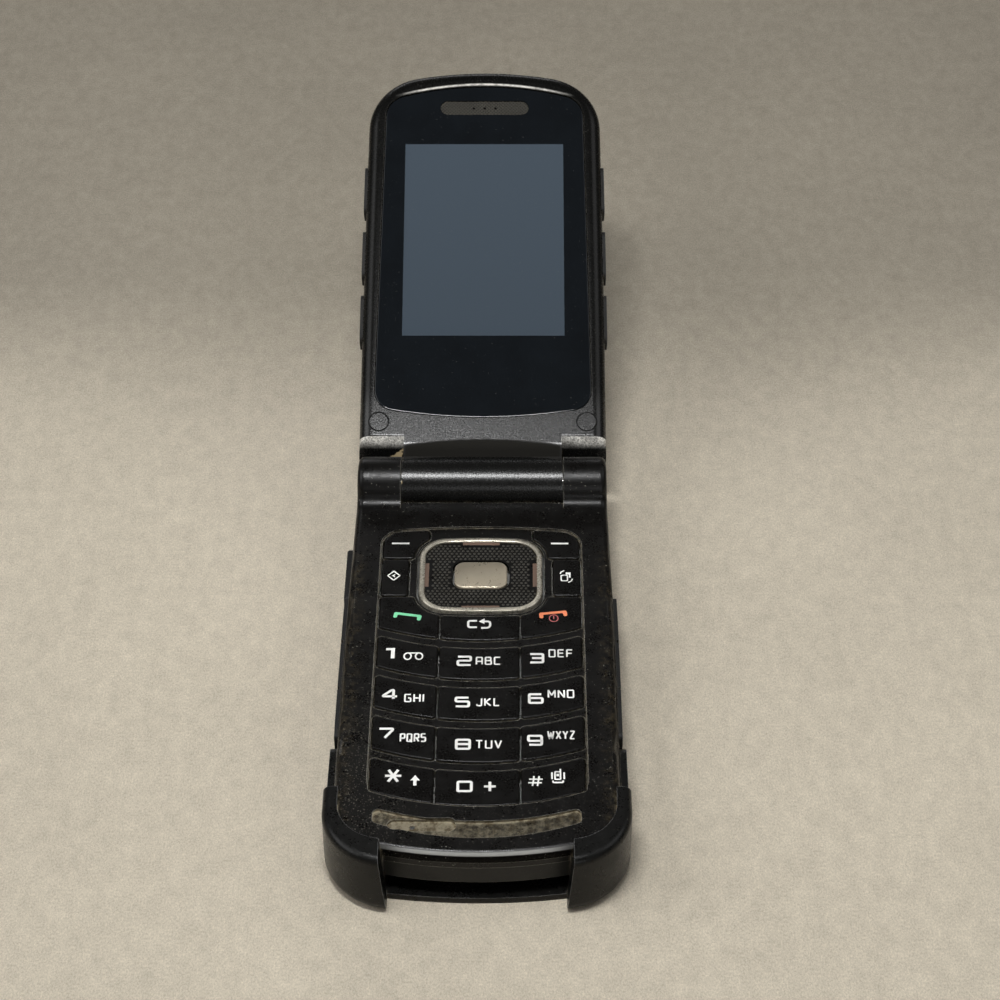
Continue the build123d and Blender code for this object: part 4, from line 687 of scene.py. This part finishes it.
GLYPHS: dict[str, str] = {
    "0": "0,.2 0,1 .8,1 .8,0 0,0 0,.2", "2": "0,1 .8,1 .8,.52 0,.52 0,0 .8,0",
    "3": "0,1 .8,1 .8,0 0,0;.12,.52 .8,.52",
    "4": ".62,0 .62,1 .5,1 0,.36 0,.28 .85,.28", "5": ".78,1 0,1 0,.56 .8,.56 .8,0 0,0",
    "6": ".74,1 0,1 0,0 .8,0 .8,.56 0,.56", "7": "0,1 .8,1 .8,.86 .34,0",
    "8": "0,.52 0,1 .8,1 .8,0 0,0 0,.52;0,.52 .8,.52", "9": ".06,0 .8,0 .8,1 0,1 0,.44 .8,.44",
    "A": "0,0 0,1 .8,1 .8,0;0,.42 .8,.42", "B": "0,.5 0,1 .74,1 .74,.53 0,.53;0,.53 .8,.53 .8,0 0,0 0,.5",
    "C": ".8,1 0,1 0,0 .8,0", "D": "0,.5 0,1 .8,1 .8,0 0,0 0,.5", "E": ".76,1 0,1 0,0 .76,0;0,.52 .7,.52",
    "F": ".76,1 0,1 0,0;0,.5 .7,.5", "G": ".8,1 0,1 0,0 .8,0 .8,.5 .42,.5", "H": "0,0 0,1;.8,0 .8,1;0,.5 .8,.5",
    "I": "0,0 0,1", "J": ".62,1 .62,0 0,0 0,.22", "K": "0,0 0,1;.76,1 .1,.52 .8,0;0,.52 .1,.52",
    "L": "0,1 0,0 .7,0", "M": "0,0 0,1 .46,.3 .92,1 .92,0", "N": "0,0 0,1 .8,0 .8,1",
    "O": "0,.5 0,1 .82,1 .82,0 0,0 0,.5", "P": "0,0 0,1 .78,1 .78,.44 0,.44",
    "Q": "0,.5 0,1 .82,1 .82,0 0,0 0,.5;.5,.26 .9,-.1", "R": "0,0 0,1 .78,1 .78,.46 0,.46;.4,.46 .8,0",
    "S": ".76,1 0,1 0,.54 .78,.54 .78,0 0,0", "T": "0,1 .84,1;.42,1 .42,0", "U": "0,1 0,0 .8,0 .8,1",
    "V": "0,1 .42,0 .84,1", "W": "0,1 .26,0 .55,.8 .84,0 1.1,1", "X": "0,0 .82,1;0,1 .82,0",
    "Y": "0,1 .42,.5 .84,1;.42,.5 .42,0", "Z": "0,1 .8,1 0,0 .8,0",
}
ICONS: dict[str, str] = {
    "one": "f -.83,1.35 .83,1.35 .83,.75 -.83,.75;f .13,.75 .83,.75 .83,-1.35 .13,-1.35",
    "hash": "-.5,-1.15 -.2,1.15;.38,-1.15 .68,1.15;-1.25,-.42 1.15,-.42;-1.1,.42 1.3,.42",
    "star": "-1.43,0 1.43,0;-.85,1.4 .85,-1.4;-.85,-1.4 .85,1.4",
    "up": "f 0,1.25 .84,0 .3,0 .3,-1.2 -.3,-1.2 -.3,0 -.84,0",
    "plus": "0,1.1 0,-1.1;-1.05,0 1.05,0",
    "voicemail": "o -1.06,0 .66,.85;o 1.06,0 .66,.85;-1.06,.85 1.06,.85",
    "vibrate": "-.05,1 .45,1 .45,-.8 -.52,-.8 -.52,1 .1,1;.45,1 .45,1.7;f -.27,.5 .2,.5 .2,-.05 -.27,-.05;"
               "-.88,-1.1 -.88,-1.55 .9,-1.55 .9,-1.1;-1.05,.85 -1.05,-.75;1.1,.85 1.1,-.75",
    "back": "f -1.2,.62 -.1,1.4 -.1,-.1;-.2,.62 .95,.62 .95,-1.15 -.75,-1.15",
    "receiver": "f -2.4,.75 2.4,.75 2.65,.5 2.65,-.55 2.45,-.75 2.1,-.75 1.9,-.55 1.9,-.05 1.75,.12 -1.75,.12 "
                "-1.9,-.05 -1.9,-.55 -2.1,-.75 -2.45,-.75 -2.65,-.55 -2.65,.5",
    "power": "o 0,0 .82,.92;0,.62 0,-.22",
    "map": ".59,.63 0,1.27 -1.18,0 0,-1.27 1.18,0 .59,.63;f -.4,0 .32,.5 .12,0 .32,-.5",
    "tasks": "f -.1,1.1 .83,1.1 .83,-.35 .48,-.35 .48,.52 -.1,.52;-.3,.3 -1,.3 -1,-1.25 .22,-1.25 .22,.3 -.4,.3;"
             "-1.15,.7 -.95,1.3 -.35,1.62;1.15,-.7 .95,-1.35 .35,-1.7",
    "dash": "-1.7,0 1.7,0",
}

ROUND_STEPS = 24    # sides of a printed ellipse
CORNER_STEPS = 4    # pieces of a rounded corner


@dataclass(frozen=True)
class Mark:
    """One printed mark: a word of a given height, or an icon drawn in millimetres, about its centre."""

    text: str
    x: float
    ahead: float
    height: float
    line: float
    finish: str = "legend_white"
    stretch: float = 1.0
    soft: float = 0.25
    turn: float = 0.0


@dataclass(frozen=True)
class Stroke:
    """One line, or one filled outline, of a mark."""

    points: tuple[Point, ...]
    filled: bool = False

    @staticmethod
    def read(run: str) -> Stroke:
        """Stroke from its text.

        Args:
            run: points as x,y pairs; a leading `f` fills the outline, a leading `o` draws an
                ellipse about the first pair with the second pair as its radii.

        Returns:
            The stroke.
        """
        words = run.split()
        pairs = [tuple(float(part) for part in word.split(",")) for word in words if word not in "fo"]
        if words[0] == "o":
            (x, y), (across, up) = pairs
            turns = [2 * math.pi * step / ROUND_STEPS for step in range(ROUND_STEPS + 1)]
            return Stroke(tuple((x + across * math.cos(turn), y + up * math.sin(turn)) for turn in turns))
        return Stroke(tuple(pairs), words[0] == "f")


@dataclass
class Printer:
    """Turns words and icons into thin flat strokes on one level."""

    level: float
    verts: list[Vector] = field(default_factory=list)
    faces: list[tuple[int, ...]] = field(default_factory=list)
    gap: float = 0.48
    width: float = 0.8
    sink: float = 0.01 * MM
    rise: float = 0.035 * MM
    overlap: float = 0.002 * MM

    def strokes(self, mark: Mark) -> list[Stroke]:
        """Strokes of a mark, in millimetres about its centre.

        Args:
            mark: an icon's name or a word, with its height and stretch.

        Returns:
            Its strokes.
        """
        if mark.text in ICONS:
            return [Stroke.read(run) for run in ICONS[mark.text].split(";")]
        made: list[Stroke] = []
        pen = 0.0
        for letter in mark.text:
            runs = [Stroke.read(run).points for run in GLYPHS[letter].split(";")]
            made += [Stroke(tuple((pen + x, y) for x, y in run)) for run in runs]
            pen += max(x for run in runs for x, _ in run) + self.gap
        middle = (pen - self.gap) / 2
        return [Stroke(tuple(((x - middle) * mark.height * mark.stretch, (y - 0.5) * mark.height)
                             for x, y in stroke.points)) for stroke in made]

    def softened(self, run: list[Point], radius: float) -> list[Point]:
        """The line with its corners rounded."""
        rounded = [run[0]]
        for before, corner, after in zip(run, run[1:], run[2:]):
            here = Vector(corner)
            back, on = Vector(before) - here, Vector(after) - here
            reach = min(radius, back.length / 2, on.length / 2)
            first, last = here + back.normalized() * reach, here + on.normalized() * reach
            for step in range(CORNER_STEPS + 1):
                share = step / CORNER_STEPS
                point = first * (1 - share) ** 2 + here * 2 * share * (1 - share) + last * share ** 2
                rounded.append((point.x, point.y))
        return rounded + [run[-1]]

    def ribbon(self, run: list[Point], half: float) -> list[tuple[Vector, Vector]]:
        """Left and right border points of a line of the given half thickness."""
        points = [Vector(point) for point in run]
        points = [point for index, point in enumerate(points)
                  if index == 0 or (point - points[index - 1]).length > NEAR]
        borders = []
        for index, point in enumerate(points):
            ahead = points[min(index + 1, len(points) - 1)] - point
            behind = point - points[max(index - 1, 0)]
            ahead = ahead if index + 1 < len(points) else behind
            behind = behind if index else ahead
            way = (ahead.normalized() + behind.normalized()).normalized()
            side = Vector((-way.y, way.x))
            stretch = 1.0 / max(0.5, side.dot(Vector((-ahead.y, ahead.x)).normalized()))
            borders.append((point + side * half * stretch, point - side * half * stretch))
        return borders

    def add(self, mark: Mark) -> None:
        """Adds one mark's strokes to the corners and faces."""
        turn = Matrix.Rotation(math.radians(mark.turn), 2)
        centre = Vector((mark.x, HINGE_Y - mark.ahead))
        low = self.level - self.sink
        high = low + self.rise
        for number, stroke in enumerate(self.strokes(mark)):
            high += self.overlap * number
            if stroke.filled:
                self.fill([turn @ Vector(point) + centre for point in stroke.points], low, high)
                continue
            start = len(self.verts)
            for border in self.ribbon(self.softened(list(stroke.points), mark.soft), mark.line / 2):
                for point in border:
                    x, y = (turn @ point + centre) * MM
                    self.verts += [Vector((x, y, low)), Vector((x, y, high))]
            end = len(self.verts) - 4
            for a in range(start, end, 4):
                b = a + 4
                self.faces += [(a + 1, a + 3, b + 3, b + 1), (a, b, b + 2, a + 2),
                               (a, a + 1, b + 1, b), (a + 2, b + 2, b + 3, a + 3)]
            self.faces += [(start, start + 2, start + 3, start + 1), (end, end + 1, end + 3, end + 2)]

    def fill(self, outline: list[Vector], low: float, high: float) -> None:
        """Adds a filled outline, given clockwise from above, as a thin plate."""
        start, count = len(self.verts), len(outline)
        for height in (low, high):
            self.verts += [Vector((point.x * MM, point.y * MM, height)) for point in outline]
        above = start + count
        self.faces += [tuple(range(start, above)), tuple(range(above + count - 1, above - 1, -1))]
        for here in range(count):
            ahead = (here + 1) % count
            self.faces.append((start + ahead, start + here, above + here, above + ahead))

    def mesh(self, marks: list[Mark], palette: Palette) -> bpy.types.Mesh:
        """Mesh of several marks on one flat surface, dressed in their colours."""
        owners: list[int] = []
        names = list(dict.fromkeys(mark.finish for mark in marks))
        for mark in marks:
            before = len(self.faces)
            self.add(mark)
            owners += [names.index(mark.finish)] * (len(self.faces) - before)
        made = bpy.data.meshes.new("print")
        made.from_pydata(self.verts, [], self.faces)
        for name in names:
            made.materials.append(palette.get(name))
        for face, owner in zip(made.polygons, owners):
            face.material_index = owner
        return made


LEGENDS: dict[str, tuple[str, float, float, str, float, float]] = {
    "key_1": ("one", -16.6, 48.1, "voicemail", -12.3, 48.9), "key_2": ("2", -2.8, 50.1, "ABC", 1.65, 50.1),
    "key_3": ("3", 10.6, 49.4, "DEF", 15.1, 48.1), "key_4": ("4", -16.2, 58.8, "GHI", -11.8, 59.7),
    "key_5": ("5", -3.0, 60.7, "JKL", 1.7, 60.7), "key_6": ("6", 10.4, 59.8, "MNO", 15.0, 58.6),
    "key_7": ("7", -16.6, 68.5, "PQRS", -11.7, 69.6), "key_8": ("8", -2.7, 71.2, "TUV", 1.9, 71.2),
    "key_9": ("9", 10.2, 70.2, "WXYZ", 14.9, 68.9), "key_star": ("star", -14.9, 78.8, "up", -11.0, 79.9),
}


@dataclass
class Keypad:
    """Keys with their printed legends."""

    dresser: Dresser
    top: float = 12.4 * MM
    digit: float = 2.2
    letter: float = 1.82
    digit_line: float = 0.5
    letter_line: float = 0.3
    digit_stretch: float = 1.35
    word_width: float = 4.4

    def legend(self, text: str, x: float, ahead: float, big: bool) -> Mark:
        """Mark of a digit, a word of letters or an icon."""
        if big:
            return Mark(text, x, ahead, self.digit, self.digit_line, stretch=self.digit_stretch, soft=0.32)
        across = Printer.width * len(text) + Printer.gap * (len(text) - 1)
        stretch = self.word_width / self.letter / across
        return Mark(text, x, ahead, self.letter, self.letter_line, stretch=stretch, soft=0.2)

    def build(self) -> None:
        """Dresses every key and prints its legend."""
        marks = {key: [self.legend(*row[:3], True), self.legend(*row[3:], False)] for key, row in LEGENDS.items()}
        marks |= {
            "key_0": [self.legend("0", -2.25, 81.3, True), self.legend("plus", 2.2, 81.3, True)],
            "key_hash": [self.legend("hash", 10.2, 80.0, False), self.legend("vibrate", 14.2, 78.8, False)],
            "soft_key_left": [Mark("dash", -15.75, 17.7, 1, 0.45)],
            "soft_key_right": [Mark("dash", 15.3, 17.7, 1, 0.45)],
            "map_key": [Mark("map", -16.75, 26.95, 1, 0.26, soft=0.1)],
            "task_key": [Mark("tasks", 16.45, 27.1, 1, 0.26)],
            "clear_key": [Mark("C", -1.4, 40.3, 1.75, 0.45, stretch=1.2, soft=0.5),
                          Mark("back", 0.95, 40.2, 1, 0.42, soft=0.8)],
            "send_key": [Mark("receiver", -13.75, 38.2, 1, 0.4, "legend_green", turn=-9.7)],
            "end_key": [Mark("receiver", 13.8, 37.65, 1, 0.4, "legend_red", turn=7.4),
                        Mark("power", 13.9, 38.7, 1, 0.17, "legend_rose")],
        }
        self.dresser.nodes({"key_cap_gloss": " ".join(marks)})
        for key, row in marks.items():
            mesh = Printer(self.top).mesh(row, self.dresser.palette)
            self.dresser.piece(f"legend_{key}", mesh, key, "key_black")


class Shape(Enum):
    """Outline inside which a field of dots lies."""

    RING = "ring"
    SLOT = "slot"


@dataclass
class DotField:
    """Hexagonal field of small round dots, grown by a node tree over a flat zone."""

    shape: Shape
    half_x: float
    half_y: float
    corner: float
    pitch: float
    dot_r: float
    rise: float
    material: bpy.types.Material
    hole_x: float = 0.0
    hole_y: float = 0.0
    mark_half: float = 0.0
    mark_depth: float = 0.0

    def sizes(self) -> dict[str, float]:
        """Sizes by the name of the tree's input."""
        return {"Pitch": self.pitch, "Dot Radius": self.dot_r, "Rise": self.rise, "Half X": self.half_x,
                "Half Y": self.half_y, "Hole X": self.hole_x, "Hole Y": self.hole_y,
                "Mark Half": self.mark_half, "Mark Depth": self.mark_depth}

    def outside(self, graph: Graph, given: dict[str, Value]) -> Value:
        """Mask of the points that bear no dot.

        Args:
            graph: the tree to build in.
            given: the tree's inputs by name.

        Returns:
            1 outside the field, in its hole and at its marks.
        """
        x, y, _ = graph.parts(graph.node("GeometryNodeInputPosition"))
        outer = graph.edge_distance(x, y, given["Half X"], given["Half Y"], self.corner)
        gone = outer > -self.dot_r
        if self.shape is Shape.SLOT:
            return gone
        inner = graph.edge_distance(x, y, given["Hole X"], given["Hole Y"], self.corner * 0.5)
        gone = graph.top(gone, inner < self.dot_r)
        for along, across, half in ((x, y, given["Half Y"]), (y, x, given["Half X"])):
            beside = abs(along) < given["Mark Half"]
            gone = graph.top(gone, beside * (abs(across) > half - given["Mark Depth"]))
        return gone

    def tree(self) -> bpy.types.NodeTree:
        """Node tree with the field's sizes as named inputs."""
        made = bpy.data.node_groups.new(f"dots_{self.shape.value}", "GeometryNodeTree")
        made.interface.new_socket("Geometry", in_out="OUTPUT", socket_type="NodeSocketGeometry")
        for name in self.sizes():
            made.interface.new_socket(name, in_out="INPUT", socket_type="NodeSocketFloat")
        graph = Graph(made)
        given = graph.outputs(graph.node("NodeGroupInput"))
        rows = int(2 * self.half_y / (self.pitch * ROW_SHARE)) + SPARE_ROWS
        columns = int(2 * self.half_x / self.pitch) + SPARE_ROWS
        grid = graph.node("GeometryNodeMeshGrid", "Mesh", {
            "Vertices X": columns, "Vertices Y": rows, "Size X": given["Pitch"] * float(columns - 1),
            "Size Y": given["Pitch"] * (ROW_SHARE * (rows - 1))})
        row = graph.math("MODULO", graph.node("GeometryNodeInputIndex"), float(rows))
        shift = graph.math("MODULO", row, 2.0) * (given["Pitch"] * 0.5)
        moved = graph.node("GeometryNodeSetPosition", 0, {
            "Geometry": grid, "Offset": graph.node("ShaderNodeCombineXYZ", 0, {0: shift})})
        kept = graph.node("GeometryNodeDeleteGeometry", 0, {
            "Geometry": moved, "Selection": self.outside(graph, given)}, domain="POINT")
        dome = graph.node("GeometryNodeMeshCone", "Mesh", {
            "Vertices": 8, "Radius Top": given["Dot Radius"] * 0.5, "Radius Bottom": given["Dot Radius"],
            "Depth": given["Rise"]}, fill_type="NGON")
        spread = graph.node("GeometryNodeInstanceOnPoints", 0, {"Points": kept, "Instance": dome})
        real = graph.node("GeometryNodeRealizeInstances", 0, {0: spread})
        dressed = graph.node("GeometryNodeSetMaterial", 0, {"Geometry": real, "Material": self.material})
        graph.feed(made.nodes.new("NodeGroupOutput").inputs[0], dressed)
        return made

    def mesh(self, place: Matrix) -> bpy.types.Mesh:
        """Plain mesh of the field.

        Args:
            place: matrix from the field's own plane to the phone's frame.

        Returns:
            The dots as one mesh with its material.
        """
        carrier = show("dot_carrier", bpy.data.meshes.new("dot_carrier"))
        modifier = carrier.modifiers.new("dots", "NODES")
        modifier.node_group = self.tree()
        sizes = self.sizes()
        for item in modifier.node_group.interface.items_tree:
            if item.in_out == "INPUT":
                modifier[item.identifier] = sizes[item.name]
        graph = bpy.context.evaluated_depsgraph_get()
        made = bpy.data.meshes.new_from_object(carrier.evaluated_get(graph), depsgraph=graph)
        bpy.data.objects.remove(carrier)
        made.transform(place)
        return made


@dataclass
class NavigationKey:
    """Rocking ring with its dotted face, silver rim, pale inserts and centre key."""

    dresser: Dresser
    centre_y: float = (HINGE_Y - 26.55) * MM
    face: float = 12.23 * MM

    def build(self) -> None:
        """Dresses the ring and grows its dots."""
        self.dresser.nodes({"ring_gloss": "nav_key", "rim_plated": "nav_rim", "insert_pale": "nav_inserts",
                            "ok_silver": "ok_key", "carrier_white": "nav_actuator"})
        dots = DotField(Shape.RING, half_x=10.75 * MM, half_y=9.3 * MM, corner=4.2 * MM, hole_x=5.6 * MM,
                        hole_y=4.1 * MM, pitch=0.87 * MM, dot_r=0.3 * MM, rise=0.16 * MM,
                        material=self.dresser.palette.get("ring_dots"), mark_half=4.0 * MM, mark_depth=1.35 * MM)
        mesh = dots.mesh(Matrix.Translation((0, self.centre_y, self.face)))
        self.dresser.piece("nav_dots", mesh, "nav_ring", "ring_black")


@dataclass
class Base:
    """Lower half of the phone without its keys."""

    dresser: Dresser

    def build(self) -> None:
        """Dresses the housings and what they hold."""
        self.dresser.nodes({
            "key_plate_satin": "base_front_housing", "base_tub_satin": "base_rear_housing battery_cover",
            "guard_moulding": "corner_guard", "rubber_matte": "base_grip_left base_grip_right side_key port_cover",
            "steel_plain": "cover_lock base_screws dome_sheet microphone vibration_motor port_connector hinge_pin",
            "battery_wrap": "battery", "contact_gold": "battery_contacts", "board_green": "main_board",
            "mat_grey": "key_mat", "carrier_white": "antenna",
        })


@dataclass
class Lid:
    """Upper half of the phone."""

    dresser: Dresser
    ear_at: float = 86.1 * MM
    mesh_level: float = -0.57 * MM

    def build(self) -> None:
        """Dresses the lid and grows three near-black discs, painted shade for the holes behind the earpiece's mesh.
        """
        self.dresser.nodes({
            "lid_frame_satin": "lid_front_frame lid_plugs", "lid_shell_satin": "lid_back_shell",
            "lens_gloss": "lid_lens", "lid_rubber": "lid_grips", "ear_mesh": "earpiece_mesh",
            "window_gloss": "outer_window", "screen_panel": "display_module outer_display", "camera_ring": "camera",
            "steel_plain": "earpiece lid_screws loudspeaker hinge_cam", "board_green": "lid_board",
            "flex_amber": "hinge_flex",
        })
        holes = DotField(Shape.SLOT, half_x=3.9 * MM, half_y=0.7 * MM, corner=0.6 * MM, pitch=2.3 * MM,
                         dot_r=0.3 * MM, rise=0.02 * MM, material=self.dresser.palette.get("mesh_holes"))
        mesh = holes.mesh(LID.matrix() @ Matrix.Translation((0, self.ear_at, self.mesh_level)))
        self.dresser.piece("ear_holes", mesh, "lid", "mesh_dark")


@dataclass(frozen=True)
class Lamp:
    """Soft rectangular lamp that faces a target; metres and watts."""

    name: str
    place: Triple
    target: Triple
    size: Point
    power: float

    def hang(self) -> None:
        """Adds the lamp to the scene."""
        data = bpy.data.lights.new(self.name, "AREA")
        data.shape = "RECTANGLE"
        data.size, data.size_y = self.size
        data.energy = self.power
        made = show(self.name, data)
        made.location = self.place
        made.rotation_euler = (Vector(self.target) - Vector(self.place)).to_track_quat("-Z", "Y").to_euler()


LAMPS = (
    Lamp("key", (-0.03, -0.085, 0.46), (0, 0.04, 0), (0.15, 0.05), 1.5),
    Lamp("left", (-1.80, -0.20, 1.50), (0, 0.03, 0), (1.8, 1.4), 19.0),
    Lamp("right", (1.60, 0.20, 1.60), (0, 0.03, 0), (1.4, 1.2), 7.0),
    Lamp("front", (0.45, -1.60, 0.62), (0, 0, 0), (0.9, 0.35), 3.0),
    Lamp("rear", (-0.25, 1.80, 0.75), (0, 0.1, 0.05), (1.2, 0.25), 4.0),
)


@dataclass
class Studio:
    """Floor, lamps, world and camera."""

    camera_at: Vector = field(default_factory=lambda: Vector((6.753, -327.369, 333.879)) * MM)
    pitch: float = 41.171
    yaw: float = 0.4959
    roll: float = -0.2843
    focal: float = 88.2
    sensor: float = 36.0
    floor: Rgb = (191, 182, 165)
    floor_half: float = 3.0
    drawn: Triple = (1.0, 0.62, 1.0)
    broad: Patches = Patches(60.0, 3.0, 0.6, 0.3, 0.7, 0.94, 1.04, smooth=False)
    fibre: Patches = Patches(3.2, 6.0, 0.8, 0.3, 0.7, 0.85, 1.14, smooth=False)
    fine: Patches = Patches(0.3, 4.0, 0.9, 0.3, 0.7, 0.66, 1.34, smooth=False)
    # rear: painted shade, the floor's colour falling from 1 near the phone to 0.61 behind it
    rear: Ramp = (0.068, 0.142, 1.0, 0.61)
    sky: Colour = (1.0, 0.97, 0.93, 1.0)
    sky_strength: float = 0.08

    def build(self) -> None:
        """Sets up everything around the phone."""
        self.lay_floor()
        for lamp in LAMPS:
            lamp.hang()
        self.air()
        self.aim()
        bpy.context.scene.view_settings.view_transform = "Standard"

    def lay_floor(self) -> None:
        """Wide plain floor with a faint fibrous tone and painted shade that dims it behind the phone."""
        mesh = bpy.data.meshes.new("floor")
        half = self.floor_half
        mesh.from_pydata([(-half, -half, 0), (half, -half, 0), (half, half, 0), (-half, half, 0)], [],
                         [(0, 1, 2, 3)])
        made, graph, shader = blank_material("floor_card")
        drawn = graph.node("ShaderNodeVectorMath", 0, {0: graph.coords, 1: self.drawn}, operation="MULTIPLY")
        tone = self.broad.mask(graph) * self.fibre.mask(graph, drawn) * self.fine.mask(graph, drawn)
        tone = tone * graph.span(graph.parts()[1], *self.rear)
        graph.feed(shader["Base Color"], graph.scaled(self.floor, tone))
        shader["Roughness"].default_value = 0.9
        shader[SPECULAR].default_value = 0.2
        mesh.materials.append(made)
        floor = show("floor", mesh)

    def air(self) -> None:
        """Dim, even and slightly warm world."""
        world = bpy.data.worlds.new("studio")
        world.use_nodes = True
        back = world.node_tree.nodes["Background"].inputs
        back["Color"].default_value = self.sky
        back["Strength"].default_value = self.sky_strength
        bpy.context.scene.world = world

    def aim(self) -> None:
        """Camera at the measured place and angle."""
        data = bpy.data.cameras.new("camera")
        data.lens, data.sensor_width = self.focal, self.sensor
        data.clip_start = 0.01
        made = show("camera", data)
        aimed = turned(self.yaw, "Z") @ turned(90.0 - self.pitch, "X") @ turned(self.roll, "Z")
        made.matrix_world = Matrix.Translation(self.camera_at) @ aimed
        bpy.context.scene.camera = made


def clear_scene() -> None:
    """Removes what a new Blender file starts with."""
    for item in list(bpy.data.objects):
        bpy.data.objects.remove(item)


def main() -> None:
    """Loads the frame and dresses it."""
    logging.basicConfig(level=logging.INFO, format="%(message)s")
    clear_scene()
    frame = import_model()
    dresser = Dresser(frame, Palette())
    for assembly in (Base(dresser), Keypad(dresser), NavigationKey(dresser), Lid(dresser), Studio()):
        assembly.build()
        LOG.info("built %s", type(assembly).__name__)


if __name__ == "__main__":
    main()
